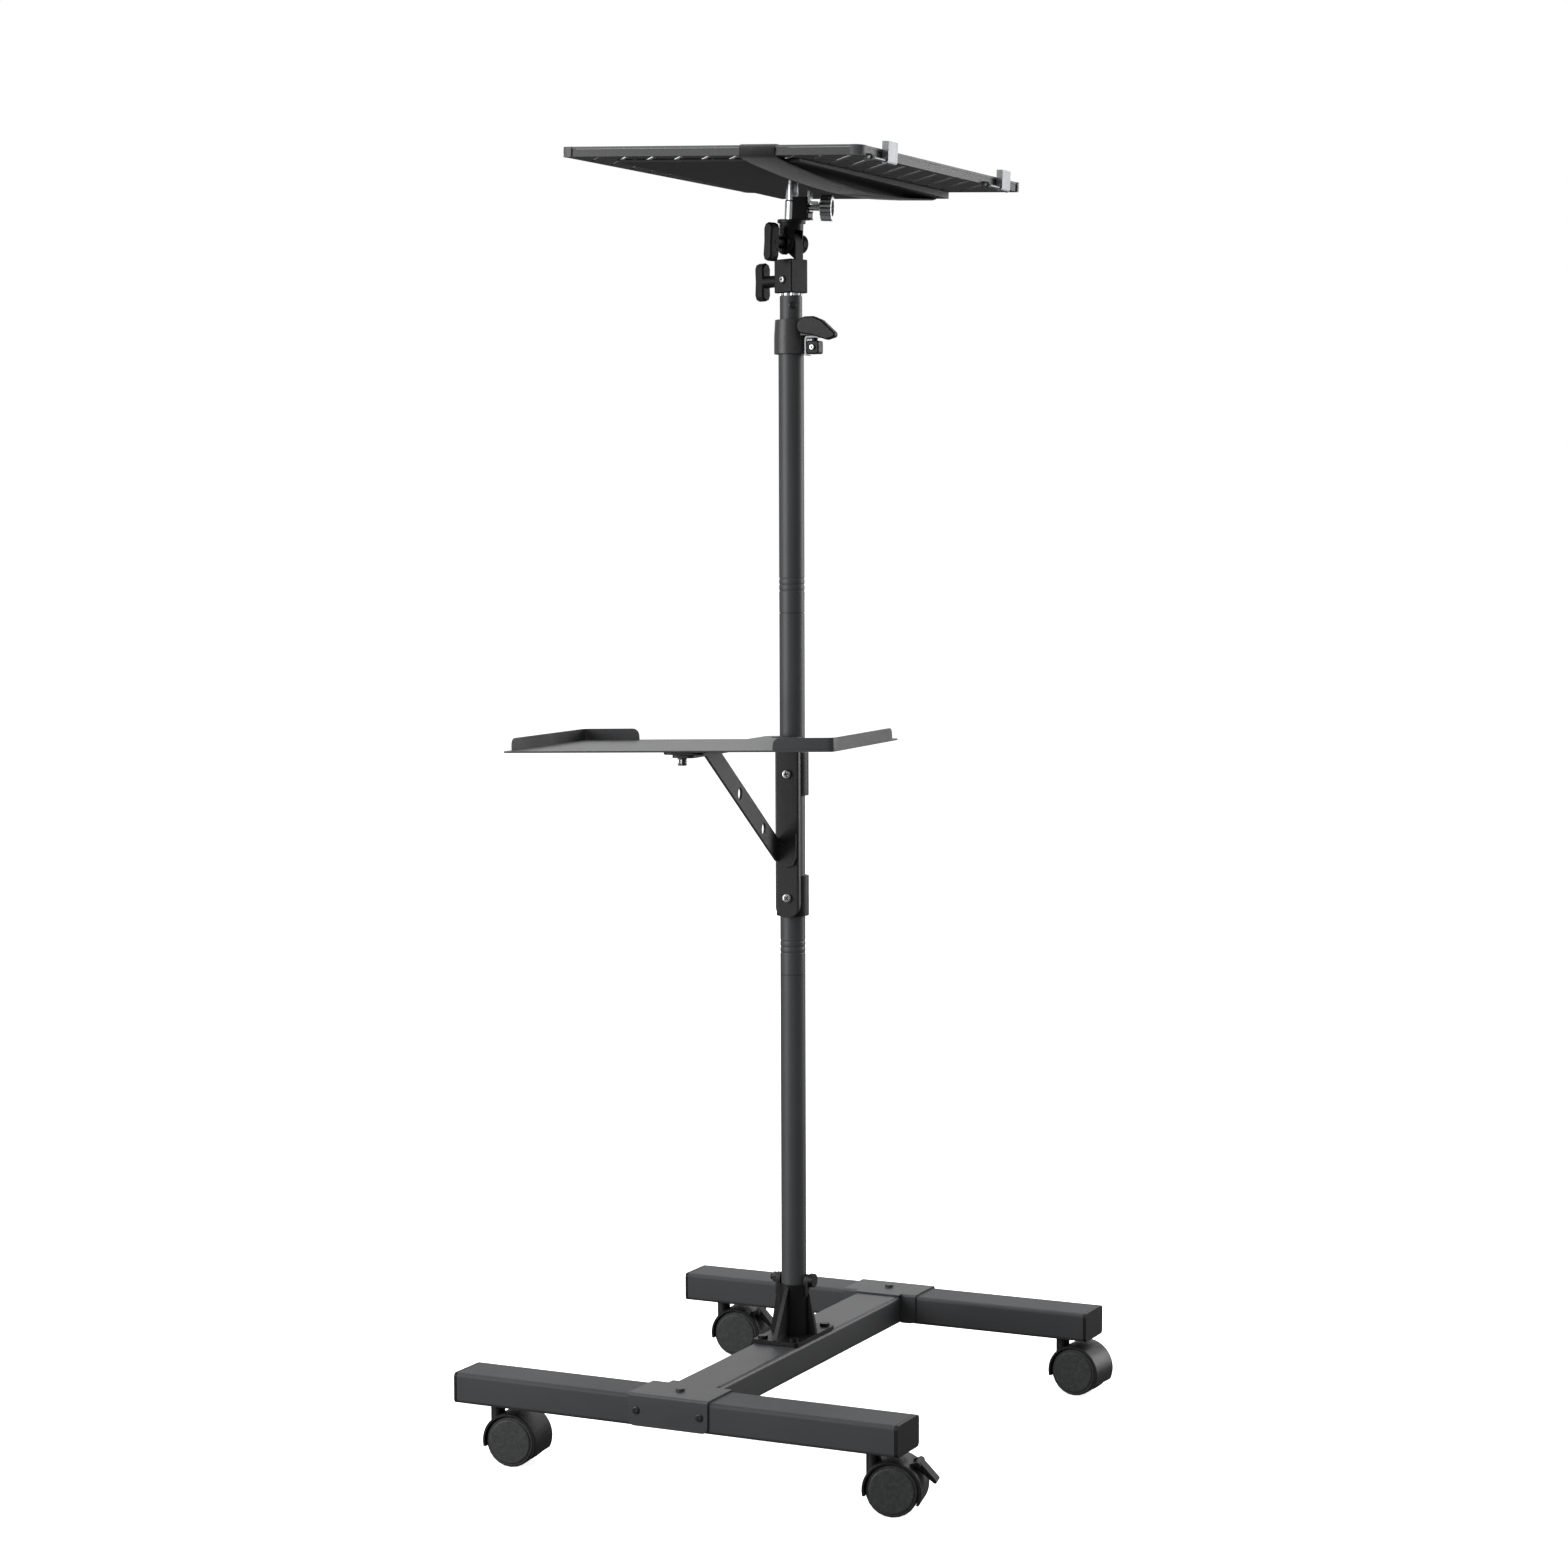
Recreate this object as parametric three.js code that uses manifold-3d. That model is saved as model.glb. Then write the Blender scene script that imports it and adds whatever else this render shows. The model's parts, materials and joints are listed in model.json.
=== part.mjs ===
// Audio visual cart: a rolling base of two cross bars and a spine, a three-section column with a
// telescoping mast, a fixed lower shelf, and a slotted upper tray on a swivelling tilt head.
// Millimetres, +Z up. The cross bars run along X and the spine along Y; the front of the cart is -Y.
import * as THREE from 'three';
import { mergeVertices } from 'three/addons/utils/BufferGeometryUtils.js';
import Module from 'manifold-3d';

// Clearances
const seatGap = 0.3;            // between pieces that rest on or grip each other
const turnGap = 0.5;            // round pieces that turn or slide
const overrun = 2;              // how far a cutter reaches past the wall that it cuts

// Base
const baseDepth = 538;          // over the outer faces of the two cross bars
const columnSetback = 5.5;      // the column stands this far behind the middle of the base
const barLength = 470;          // over the end caps
const barWidth = 50;
const barHeight = 30;
const spineWidth = 50;
const barWall = 2;
const barCorner = 4;
const capThickness = 3;
const capPlugDepth = 9;
const capPlugWall = 1.6;

// Saddles that join the bars to the spine
const saddleWidth = 84;
const saddleSheet = 1.5;
const saddleDrop = 31;
const saddleBend = 1.4;
const saddleCorner = 6;
const saddleTongue = 8;
const saddleScrewPitch = 67;
const screwShank = 2.1;
const screwReach = 7;
const flatHeadRadius = 3.4;
const flatHeadHeight = 0.8;
const panHeadRadius = 4.4;
const panHeadHeight = 2.6;

// Casters
const casterHeight = 59;        // floor to the underside of the bar
const casterInset = 35;         // bar end to the stem
const casterTrail = 20.5;
const wheelRadius = 25;
const wheelFaceRadius = 21.5;
const wheelGroove = 1.6;
const wheelEdge = 1.6;
const casterWidth = 42;
const hoodWall = 2.5;
const hoodBevel = 0.8;
const hoodWeb = 9;
const skirtBehind = 26;         // degrees that the hood reaches below the axle on its trailing side
const skirtAhead = 12;          // degrees, on the side of the stem
const neckRadius = 7;
const axleRadius = 3.5;
const stemRadius = 4;
const stemDepth = 12;
const stemFlangeRadius = 8;
const stemFlangeHeight = 3;
const pedalAngle = 46;          // degrees above the axle where the brake pedal is hinged
const pedalReach = 22;
const pedalDroop = 43;          // degrees
const pedalWidth = 17;
const pedalThickness = 3.6;
const pedalHubRadius = 3.4;
const pedalPinRadius = 1.6;
const earThickness = 2.4;
const casterTurns = {           // degrees about the stems, as photographed
  front_left: 6,
  front_right: 12.5,
  rear_left: 7,
  rear_right: -4,
};

// Column socket
const flangeWidth = 50;
const flangeDepth = 90;
const flangeHeight = 4;
const flangeCorner = 4;
const socketTop = 144;
const sleeveFootRadius = 17;
const sleeveTopRadius = 16;
const gussetThickness = 4.4;
const gussetFoot = 2;
const earWidth = 12;
const earRise = 4;              // bolt centre above the sleeve's rim
const earProud = 2;
const boltRadius = 3;
const boltHeadRadius = 7;
const boltHeadHeight = 5;
const nutRadius = 5.6;
const nutHeight = 4;
const flangeBoltInset = 8;
const flangeBoltRadius = 5;
const flangeBoltHeight = 3;

// Column tubes
const tubeRadius = 12.7;
const tubeWall = 1.2;
const lowerTubeTop = 458.4;
const middleTubeTop = 821.3;
const upperTubeTop = 1094;
const spigotLength = 40;
const spigotWall = 1.6;
const grooveRise = 22;
const groovePitch = 6;
const grooveCount = 3;
const grooveDepth = 0.6;
const grooveWidth = 2.6;

// Mast
const mastRadius = 11.2;
const mastWall = 1.5;
const mastTop = 1135;
const mastFloor = 4;            // mast's lower end above the spigot below it
const mastPlug = 6;
const studRadius = 8;
const studLength = 27;
const mastScrewRadius = 3.6;
const mastScrewHeight = 1.2;
const mastScrewDrop = 9.4;
const mastScrewAngle = -57;     // degrees from +X
const washerRadius = 11.6;
const washerHeight = 2.4;
const washerTeeth = 12;
const washerToothDepth = 1.4;

// Collar clamp
const collarBottom = 1078;
const collarTop = 1112;
const collarRadius = 17;
const collarTopRadius = 16;
const collarSlit = 1.6;
const lugLength = 10;
const lugHalfWidth = 9;
const lugBottom = 1095.5;
const leverHeight = 1104.5;     // lever pivot above the floor
const leverOffset = 23;         // lever pivot from the column axis
const leverHubRadius = 9;
const leverThickness = 9;
const leverReach = 33;
const leverDrop = 9.5;
const leverTipRadius = 3.4;
const leverRootDrop = 7;
const clampPlateSheet = 2;
const clampPlateWidth = 12;
const clampPlateReach = 12;
const clampPlateDrop = 2;       // below the collar
const clampBlockSize = 13;
const clampBlockCorner = 2;
const clampBlockDrop = 2.5;     // below the plate
const clampScrewRadius = 3;
const clampScrewHeight = 1.4;

// Head
const headTurn = 70.5;          // degrees from +X to the tilt axis
const blockSide = 24;
const blockCorner = 1.6;
const blockHeight = 33;
const tiltRise = 16;            // tilt axis above the block's shoulder
const tongueThickness = 10.4;
const tongueRadius = 12;
const pivotRadius = 4;
const lockKnobRise = 13;        // lock screw above the block's underside
const lockKnobOffset = 40;
const tiltKnobOffset = 27;
const knobBarLength = 38;
const knobBarWidth = 12;
const knobBarWaist = 9.6;
const knobBarThickness = 12;
const knobHubRadius = 6;
const knobShankRadius = 3;
const setScrewRadius = 4.6;
const setScrewHeight = 1.2;
const yokeRadius = 12;
const yokeTop = 19.6;           // underside of the yoke's flange above the tilt axis
const yokeFlangeRadius = 14;
const yokeFlangeHeight = 3.4;
const yokeBossRadius = 9.3;
const yokeBossHeight = 3.6;
const pivotHeadRadius = 6.4;
const pivotHeadHeight = 2.6;

// Tray post and its clamp
const trayTilt = 2.8;           // degrees about the tilt axis as photographed
const trayYaw = 1.4;            // degrees
const postRadius = 7.2;
const postNeckRadius = 6.2;
const postShoulder = 41;        // above the tilt axis
const postSeatDepth = 2.4;
const jawTurn = 15;             // degrees from +X to the jaw's screw
const jawStart = 2;
const jawEnd = 16.5;
const jawHalfWidth = 9;
const jawHeight = 22;
const jawRibDepth = 1.2;
const jawRibPitch = 3;
const jawScrewHeight = 35.4;    // above the tilt axis
const jawShankRadius = 3;
const fluteKnobRadius = 13;
const fluteDepth = 1.2;
const fluteCount = 16;
const fluteKnobStart = 30;
const fluteKnobLength = 11;
const fluteKnobConeRadius = 5;
const fluteKnobCone = 2.6;
const fluteDishRadius = 8;
const fluteDishDepth = 2;
const hookSheet = 2.4;
const hookWidth = 14;
const hookHeight = 11.2;
const jawNutRadius = 4.4;
const jawNutLength = 5;
const jawNutDrop = 8;           // below the jaw's screw

// Upper tray
const trayHeight = 67;          // underside of the tray above the tilt axis
const trayWidth = 308;
const trayDepth = 418;
const trayShiftX = 6;
const trayShiftY = 3;
const traySheet = 1.5;
const trayCorner = 7;
const rimHeight = 7;
const rimWall = 1.5;
const edgingHeight = 2;
const edgingOverhang = 0.5;
const guardWall = 1.2;
const guardLength = 10;
const slotPitch = 23.6;
const slotWidth = 4;
const slotAngle = 125;          // degrees from the tray's X axis
const crossSlotWidth = 2.4;
const crossSlotBridge = 3;
const slotMargin = 3;           // sheet left between a slot and the rim
const slotEnd = 5;              // sheet left between a slot and the solid centre
const slotRunShare = 0.5;
const centreLeft = -104;
const centreRight = 76;
const centreFront = -152;
const centreBack = 176;
const panSheet = 1.2;
const panLeft = -110;
const panRight = 80;
const panFront = -180;
const panBack = 200;
const panFrontDepth = 2.6;
const panBackDepth = 7;
const postStudRadius = 4;
const trayNutRadius = 7.5;
const trayNutHeight = 4;
const stopWidth = 23;
const stopThickness = 6.6;
const stopHeight = 18;
const stopInset = 59;           // stop's middle from the tray's end
const stopPinRadius = 1.5;
const stopPinReach = 33;
const stopPinDrop = 1.2;
const stopEyeWidth = 5;
const stopEyeWall = 1.5;

// Strap
const strapWidth = 36;
const strapThickness = 1.6;
const strapPlace = 50;
const strapSag = 15;

// Shelf and its bracket
const shelfTurn = 7;           // degrees
const channelWidth = 25.6;
const channelSheet = 1.7;
const channelDepth = 5.4;
const channelBottom = 517;
const channelTop = 697;
const ringRadius = 16.3;
const upperRingBottom = 639;
const upperRingTop = 682;
const lowerRingBottom = 518;
const lowerRingTop = 558.5;
const ringSlit = 2;
const upperScrewRise = 22;       // screw above the ring's lower edge
const lowerScrewRise = 19;
const ringScrewRadius = 4.2;
const ringScrewHeight = 2.2;
const armWidth = 40;
const armSheet = 2;
const armEnd = -318;
const braceWidth = 21.5;
const braceSheet = 2.6;
const braceSide = -11;
const braceFarY = -214;
const braceNearY = -26;
const braceNearZ = 588;
const braceHoleRadius = 6;
const braceHoleShares = [0.43, 0.8];
const braceTabWidth = 21.5;
const braceTabDrop = 20.5;
const braceTabRise = 13.5;
const shelfWidth = 322;
const shelfDepth = 204;
const shelfSheet = 1.6;
const shelfMiddle = -219;
const shelfSide = -14.6;        // tray's middle beside the arm's
const shelfLean = 1.1;          // degrees that the right end stands higher
const shelfCorner = 5;
const lipHeight = 11;
const frontLip = 58;
const sideLip = 178;
const lipInsetFront = 4;
const armScrewY = -49;
const nearStudY = -152;
const farStudX = -3.5;
const farStudY = -306;
const shelfStudRadius = 3;
const shelfNutRadius = 4;
const shelfNutHeight = 7;

// Facets round the curved pieces
const tubeSegments = 24;
const smallSegments = 12;
const wheelSegments = 24;
const cornerSegments = 2;
const channelEndSegments = 6;

// Finishes
const finish = (colour, roughness, metalness) => new THREE.MeshStandardMaterial({
  color: colour, roughness, metalness,
});
const powderCoat = finish(0x2b2c2e, 0.5, 0.5);
const tubeCoat = finish(0x3a3b3d, 0.4, 0.6);
const blackPlastic = finish(0x151515, 0.55, 0);
const wheelPlastic = finish(0x232323, 0.6, 0);
const chrome = finish(0xd0d2d4, 0.15, 1);
const rubber = finish(0x0d0d0d, 0.8, 0);
const webbing = finish(0x1a1a1b, 0.95, 0);

const wasm = await Module();
wasm.setup();

// A closed geometry as a solid that can be joined and cut
function solid(geometry) {
  const shell = geometry.clone();
  shell.deleteAttribute('normal');
  shell.deleteAttribute('uv');
  const merged = mergeVertices(shell);
  const points = merged.attributes.position;
  const corner = [new THREE.Vector3(), new THREE.Vector3(), new THREE.Vector3()];
  const triangles = [];
  let volume = 0;
  for (let i = 0; i < merged.index.count; i += 3) {
    const triple = [merged.index.getX(i), merged.index.getX(i + 1), merged.index.getX(i + 2)];
    if (new Set(triple).size < 3) continue;
    triple.forEach((index, k) => corner[k].fromBufferAttribute(points, index));
    volume += corner[0].dot(corner[1].clone().cross(corner[2]));
    triangles.push(triple);
  }
  const facing = volume < 0 ? triangles.map(([a, b, c]) => [a, c, b]) : triangles;
  return new wasm.Manifold(new wasm.Mesh({
    numProp: 3,
    vertProperties: new Float32Array(points.array),
    triVerts: new Uint32Array(facing.flat()),
  }));
}

function geometryOf(body) {
  const mesh = body.getMesh();
  const geometry = new THREE.BufferGeometry();
  geometry.setAttribute('position', new THREE.BufferAttribute(mesh.vertProperties, 3));
  geometry.setIndex(new THREE.BufferAttribute(mesh.triVerts, 1));
  geometry.computeVertexNormals();
  return geometry;
}

function piece(name, body, material, group) {
  const mesh = new THREE.Mesh(geometryOf(body), material);
  mesh.name = name;
  group.add(mesh);
  return mesh;
}

const join = (bodies) => bodies.reduce((whole, body) => whole.add(body));
const cut = (body, cutters) => cutters.reduce((rest, cutter) => rest.subtract(cutter), body);
const degrees = THREE.MathUtils.degToRad;
const point = (x, y) => new THREE.Vector2(x, y);

// Directions for extrusions: the outline's own axes, then the way that it is given thickness
const right = new THREE.Vector3(1, 0, 0);
const back = new THREE.Vector3(0, 1, 0);
const up = new THREE.Vector3(0, 0, 1);
const alongX = new THREE.Matrix4().makeBasis(back, up, right);
const alongY = new THREE.Matrix4().makeBasis(right, up, back.clone().negate());
const alongZ = new THREE.Matrix4();

// An outline given thickness on both sides of its plane, with its plane's middle at a place
function prism(outline, thickness, direction = alongZ, place = [0, 0, 0]) {
  const geometry = new THREE.ExtrudeGeometry(outline, {
    depth: thickness, bevelEnabled: false, curveSegments: cornerSegments,
  });
  geometry.translate(0, 0, -thickness / 2);
  geometry.applyMatrix4(direction);
  geometry.translate(...place);
  return solid(geometry);
}

// The same with chamfered edges
function softPrism(outline, thickness, chamfer, direction = alongZ, place = [0, 0, 0]) {
  const geometry = new THREE.ExtrudeGeometry(outline, {
    depth: thickness - 2 * chamfer,
    bevelThickness: chamfer,
    bevelSize: chamfer,
    bevelOffset: -chamfer,
    bevelSegments: 1,
    curveSegments: cornerSegments,
  });
  geometry.translate(0, 0, -thickness / 2 + chamfer);
  geometry.applyMatrix4(direction);
  geometry.translate(...place);
  return solid(geometry);
}

function block(low, high) {
  const size = high.map((value, i) => value - low[i]);
  const middle = high.map((value, i) => (value + low[i]) / 2);
  const geometry = new THREE.BoxGeometry(...size);
  geometry.translate(...middle);
  return solid(geometry);
}

// A cylinder between two distances along a direction, on a line through a place
function rod(radius, from, to, direction = alongZ, place = [0, 0, 0], segments = smallSegments) {
  const geometry = new THREE.CylinderGeometry(radius, radius, to - from, segments);
  geometry.rotateX(Math.PI / 2);
  const sense = direction === alongY ? -1 : 1;
  geometry.translate(0, 0, sense * (from + to) / 2);
  geometry.applyMatrix4(direction);
  geometry.translate(...place);
  return solid(geometry);
}

// A profile of [radius, height] points turned about the Z axis
function turned(profile, segments = tubeSegments) {
  const geometry = new THREE.LatheGeometry(profile.map(([x, y]) => point(x, y)), segments);
  geometry.rotateX(Math.PI / 2);
  return solid(geometry);
}

// A bore that a round piece of the given radius can turn in, allowing for both pieces' facets
const boreFor = (radius, gap, segments = smallSegments) => (radius + gap) / Math.cos(Math.PI / segments);

function roundedRectangle(width, height, corner) {
  const x = width / 2;
  const y = height / 2;
  const shape = new THREE.Shape();
  shape.moveTo(x, corner - y);
  shape.absarc(x - corner, y - corner, corner, 0, Math.PI / 2);
  shape.absarc(corner - x, y - corner, corner, Math.PI / 2, Math.PI);
  shape.absarc(corner - x, corner - y, corner, Math.PI, 1.5 * Math.PI);
  shape.absarc(x - corner, corner - y, corner, 1.5 * Math.PI, 2 * Math.PI);
  return shape;
}

function hollow(outline, hole) {
  const shape = outline.clone();
  shape.holes.push(new THREE.Path(hole.getPoints(cornerSegments)));
  return shape;
}

function polygon(points) {
  return new THREE.Shape(points.map(([x, y]) => point(x, y)));
}

// The section of a bent sheet: the middle line's corners are rounded, then given a thickness
function bentSheet(path, thickness, bend) {
  const corners = path.map(([x, y]) => point(x, y));
  const line = [corners[0]];
  for (let i = 1; i < corners.length - 1; i += 1) {
    const before = corners[i].clone().sub(corners[i - 1]).normalize();
    const after = corners[i + 1].clone().sub(corners[i]).normalize();
    const turn = Math.atan2(before.cross(after), before.dot(after));
    const radius = bend + thickness / 2;
    const trim = radius * Math.tan(Math.abs(turn) / 2);
    const start = corners[i].clone().addScaledVector(before, -trim);
    const side = point(-before.y, before.x).multiplyScalar(Math.sign(turn) * radius);
    const middle = start.clone().add(side);
    for (let k = 0; k <= cornerSegments; k += 1) {
      line.push(start.clone().rotateAround(middle, (turn * k) / cornerSegments));
    }
  }
  line.push(corners[corners.length - 1]);
  const edge = (sense) => line.map((at, i) => {
    const before = at.clone().sub(line[Math.max(i - 1, 0)]);
    const after = line[Math.min(i + 1, line.length - 1)].clone().sub(at);
    const first = (i === 0 ? after : before).normalize();
    const second = (i === line.length - 1 ? before : after).normalize();
    const across = point(-first.y - second.y, first.x + second.x).normalize();
    const reach = thickness / 2 / Math.abs(across.dot(point(-first.y, first.x)));
    return at.clone().addScaledVector(across, sense * reach);
  });
  return new THREE.Shape([...edge(1), ...edge(-1).reverse()]);
}

// Derived places
const barTop = casterHeight + barHeight;
const frontBarY = -columnSetback - (baseDepth - barWidth) / 2;
const rearBarY = -columnSetback + (baseDepth - barWidth) / 2;
const sides = [['left', -1], ['right', 1]];
const bars = [['front', frontBarY, -1], ['rear', rearBarY, 1]];
const stemX = barLength / 2 - casterInset;
const tubeBore = tubeRadius - tubeWall;
const flangeBottom = barTop + seatGap;
const flangeTop = flangeBottom + flangeHeight;
const socketBoltZ = socketTop + earRise;
const tiltZ = mastTop + washerHeight + 2 * seatGap + blockHeight + tiltRise;

const cart = new THREE.Group();

// Cross bars: rectangular tube with holes for the caster stems and the saddle screws
function crossBar(outwards) {
  const outer = roundedRectangle(barWidth, barHeight, barCorner);
  const inner = roundedRectangle(barWidth - 2 * barWall, barHeight - 2 * barWall, barCorner - barWall);
  const length = barLength - 2 * (capThickness + seatGap);
  const tube = prism(hollow(outer, inner), length, alongX, [0, 0, casterHeight + barHeight / 2]);
  const stemHole = boreFor(stemRadius, seatGap);
  const screwHole = boreFor(screwShank, seatGap);
  const floorSpan = [casterHeight - overrun, casterHeight + barWall + overrun];
  const holes = sides.map(([, sign]) => rod(stemHole, ...floorSpan, alongZ, [sign * stemX, 0, 0]));
  holes.push(rod(screwHole, barTop - barWall - overrun, barTop + overrun));
  for (const [, sign] of sides) {
    const place = [sign * saddleScrewPitch / 2, outwards * barWidth / 2, barTop - barHeight / 2];
    holes.push(rod(screwHole, -barWall - overrun, barWall + overrun, alongY, place));
  }
  return cut(tube, holes);
}

// A plug of moulded plastic whose plate closes the bar's end
function endCap(sign) {
  const middle = casterHeight + barHeight / 2;
  const inner = barWall + seatGap;
  const plug = roundedRectangle(barWidth - 2 * inner, barHeight - 2 * inner, barCorner - barWall);
  const hole = roundedRectangle(
    barWidth - 2 * (inner + capPlugWall),
    barHeight - 2 * (inner + capPlugWall),
    barCorner - barWall,
  );
  const plateX = sign * (barLength - capThickness) / 2;
  const plugX = sign * (barLength / 2 - capThickness - capPlugDepth / 2);
  return join([
    prism(roundedRectangle(barWidth, barHeight, barCorner), capThickness, alongX, [plateX, 0, middle]),
    prism(hollow(plug, hole), capPlugDepth, alongX, [plugX, 0, middle]),
  ]);
}

// A bent bracket that wraps the bar: a full-width flap outside, two short flaps beside the spine
function saddle() {
  const sheetZ = barTop + seatGap + saddleSheet / 2;
  const flapY = barWidth / 2 + seatGap + saddleSheet / 2;
  const flapBottom = sheetZ + saddleSheet / 2 - saddleDrop;
  const section = bentSheet(
    [[-flapY, flapBottom], [-flapY, sheetZ], [flapY, sheetZ], [flapY, flapBottom]],
    saddleSheet,
    saddleBend,
  );
  const folded = prism(section, saddleWidth, alongX);
  const face = roundedRectangle(saddleWidth, 2 * saddleDrop, saddleCorner);
  const trimmed = folded.intersect(prism(face, 2 * barWidth, alongY, [0, 0, flapBottom + saddleDrop]));
  const half = spineWidth / 2 + seatGap;
  const notchStart = barWidth / 2 - saddleBend;
  const notch = block(
    [-half, notchStart, flapBottom - overrun],
    [half, flapY + saddleSheet, barTop + seatGap],
  );
  const tongue = block(
    [-half, notchStart, barTop + seatGap],
    [half, barWidth / 2 + saddleTongue, barTop + seatGap + saddleSheet],
  );
  const topScrew = [
    rod(screwShank, barTop - screwReach, sheetZ),
    rod(panHeadRadius, sheetZ, sheetZ + saddleSheet / 2 + panHeadHeight),
  ];
  const faceY = flapY + saddleSheet / 2;
  const flapScrews = sides.flatMap(([, sign]) => {
    const place = [sign * saddleScrewPitch / 2, 0, barTop - barHeight / 2];
    return [
      rod(screwShank, -flapY, -faceY + screwReach + saddleSheet, alongY, place),
      rod(flatHeadRadius, -faceY - flatHeadHeight, -flapY, alongY, place),
    ];
  });
  return join([trimmed.subtract(notch), tongue, ...topScrew, ...flapScrews]);
}

for (const [end, y, outwards] of bars) {
  const group = new THREE.Group();
  group.position.y = y;
  cart.add(group);
  piece(`${end}_bar`, crossBar(outwards), powderCoat, group);
  for (const [side, sign] of sides) {
    piece(`${end}_${side}_end_cap`, endCap(sign), blackPlastic, group);
  }
  const mounted = piece(`${end}_saddle`, saddle(), powderCoat, group);
  if (outwards > 0) mounted.rotation.z = Math.PI;
}

// Spine: the same tube between the two bars, with holes for the socket's bolts
const flangeBoltX = flangeWidth / 2 - flangeBoltInset;
const flangeBoltY = flangeDepth / 2 - flangeBoltInset;
function spine() {
  const outer = roundedRectangle(spineWidth, barHeight, barCorner);
  const wall = 2 * barWall;
  const inner = roundedRectangle(spineWidth - wall, barHeight - wall, barCorner - barWall);
  const length = rearBarY - frontBarY - barWidth - 2 * seatGap;
  const middle = [0, -columnSetback, casterHeight + barHeight / 2];
  const holes = [];
  for (const [, x] of sides) {
    for (const [, y] of sides) {
      const place = [x * flangeBoltX, y * flangeBoltY, 0];
      holes.push(rod(boreFor(boltRadius, seatGap), barTop - barWall - overrun, barTop + overrun, alongZ, place));
    }
  }
  return cut(prism(hollow(outer, inner), length, alongY, middle), holes);
}
piece('spine_tube', spine(), powderCoat, cart);

// Casters
const hoodRadius = wheelRadius + turnGap + hoodWall;
const wheelTurnRadius = wheelRadius + turnGap;
const neckTop = casterHeight - turnGap;

function casterStem() {
  const foot = neckTop - stemDepth;
  const ledge = casterHeight + barWall + seatGap;
  return turned([
    [0, foot],
    [stemRadius, foot],
    [stemRadius, ledge],
    [stemFlangeRadius, ledge],
    [stemFlangeRadius, ledge + stemFlangeHeight],
    [0, ledge + stemFlangeHeight],
  ], smallSegments);
}

const pedalHingeRadius = hoodRadius + pedalHubRadius + turnGap;
const pedalX = casterTrail + pedalHingeRadius * Math.cos(degrees(pedalAngle));
const pedalZ = wheelRadius + pedalHingeRadius * Math.sin(degrees(pedalAngle));

// The hood: a shell over both wheels, a web between them and a round neck for the stem
function casterHood(braked) {
  const outline = new THREE.Shape();
  outline.absarc(casterTrail, wheelRadius, hoodRadius, degrees(-skirtBehind), Math.PI + degrees(skirtAhead));
  const shell = new THREE.ExtrudeGeometry(outline, {
    depth: casterWidth - 2 * hoodBevel,
    bevelThickness: hoodBevel,
    bevelSize: hoodBevel,
    bevelOffset: -hoodBevel,
    bevelSegments: 1,
    curveSegments: wheelSegments / 2,
  });
  shell.translate(0, 0, hoodBevel - casterWidth / 2);
  shell.applyMatrix4(alongY);
  const neck = rod(neckRadius, wheelRadius, neckTop, alongZ, [0, 0, 0], 2 * smallSegments);
  const axle = [casterTrail, 0, wheelRadius];
  const wheelSpaces = sides.map(([, sign]) => {
    const reach = [sign * hoodWeb / 2, sign * (casterWidth / 2 + overrun)].sort((a, b) => a - b);
    return rod(wheelTurnRadius / Math.cos(Math.PI / wheelSegments), ...reach, alongY, axle, wheelSegments);
  });
  const bores = [
    rod(boreFor(axleRadius, turnGap), -casterWidth, casterWidth, alongY, axle),
    rod(boreFor(stemRadius, turnGap), neckTop - stemDepth - seatGap, neckTop + overrun),
  ];
  let body = cut(join([solid(shell), neck]), [...wheelSpaces, ...bores]);
  if (braked) {
    const outwards = pedalWidth / 2 + turnGap + earThickness / 2;
    for (const [, sign] of sides) {
      const ear = new THREE.Shape();
      const hinge = point(pedalX, pedalZ);
      const root = degrees(pedalAngle);
      const rootRadius = hoodRadius - hoodWall / 2;
      const spread = pedalHubRadius / hoodRadius;
      ear.moveTo(
        casterTrail + rootRadius * Math.cos(root - 2 * spread),
        wheelRadius + rootRadius * Math.sin(root - 2 * spread),
      );
      ear.absarc(hinge.x, hinge.y, pedalHubRadius, root - Math.PI / 2, root + Math.PI / 2);
      ear.lineTo(
        casterTrail + rootRadius * Math.cos(root + 2 * spread),
        wheelRadius + rootRadius * Math.sin(root + 2 * spread),
      );
      body = body.add(prism(ear, earThickness, alongY, [0, sign * outwards, 0]));
    }
    const pinBore = boreFor(pedalPinRadius, seatGap);
    body = body.subtract(rod(pinBore, -pedalWidth, pedalWidth, alongY, [pedalX, 0, pedalZ]));
  }
  return body;
}

// Two wheels on one axle, turned as one profile about the axle
function wheelPair() {
  const half = casterWidth / 2 - wheelGroove / 2;
  const inner = hoodWeb / 2 + turnGap;
  const side = [
    [0, half],
    [wheelFaceRadius - wheelEdge, half],
    [wheelFaceRadius, half - wheelEdge / 2],
    [wheelFaceRadius, half - wheelGroove],
    [wheelRadius - wheelEdge, half - wheelGroove],
    [wheelRadius, half - wheelGroove - wheelEdge],
    [wheelRadius, inner],
    [axleRadius, inner],
  ];
  const mirrored = side.map(([radius, height]) => [radius, -height]).reverse();
  const profile = [...side, ...mirrored].map(([radius, height]) => point(radius, height));
  const geometry = new THREE.LatheGeometry(profile, wheelSegments);
  geometry.translate(casterTrail, 0, wheelRadius);
  return solid(geometry);
}

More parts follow.
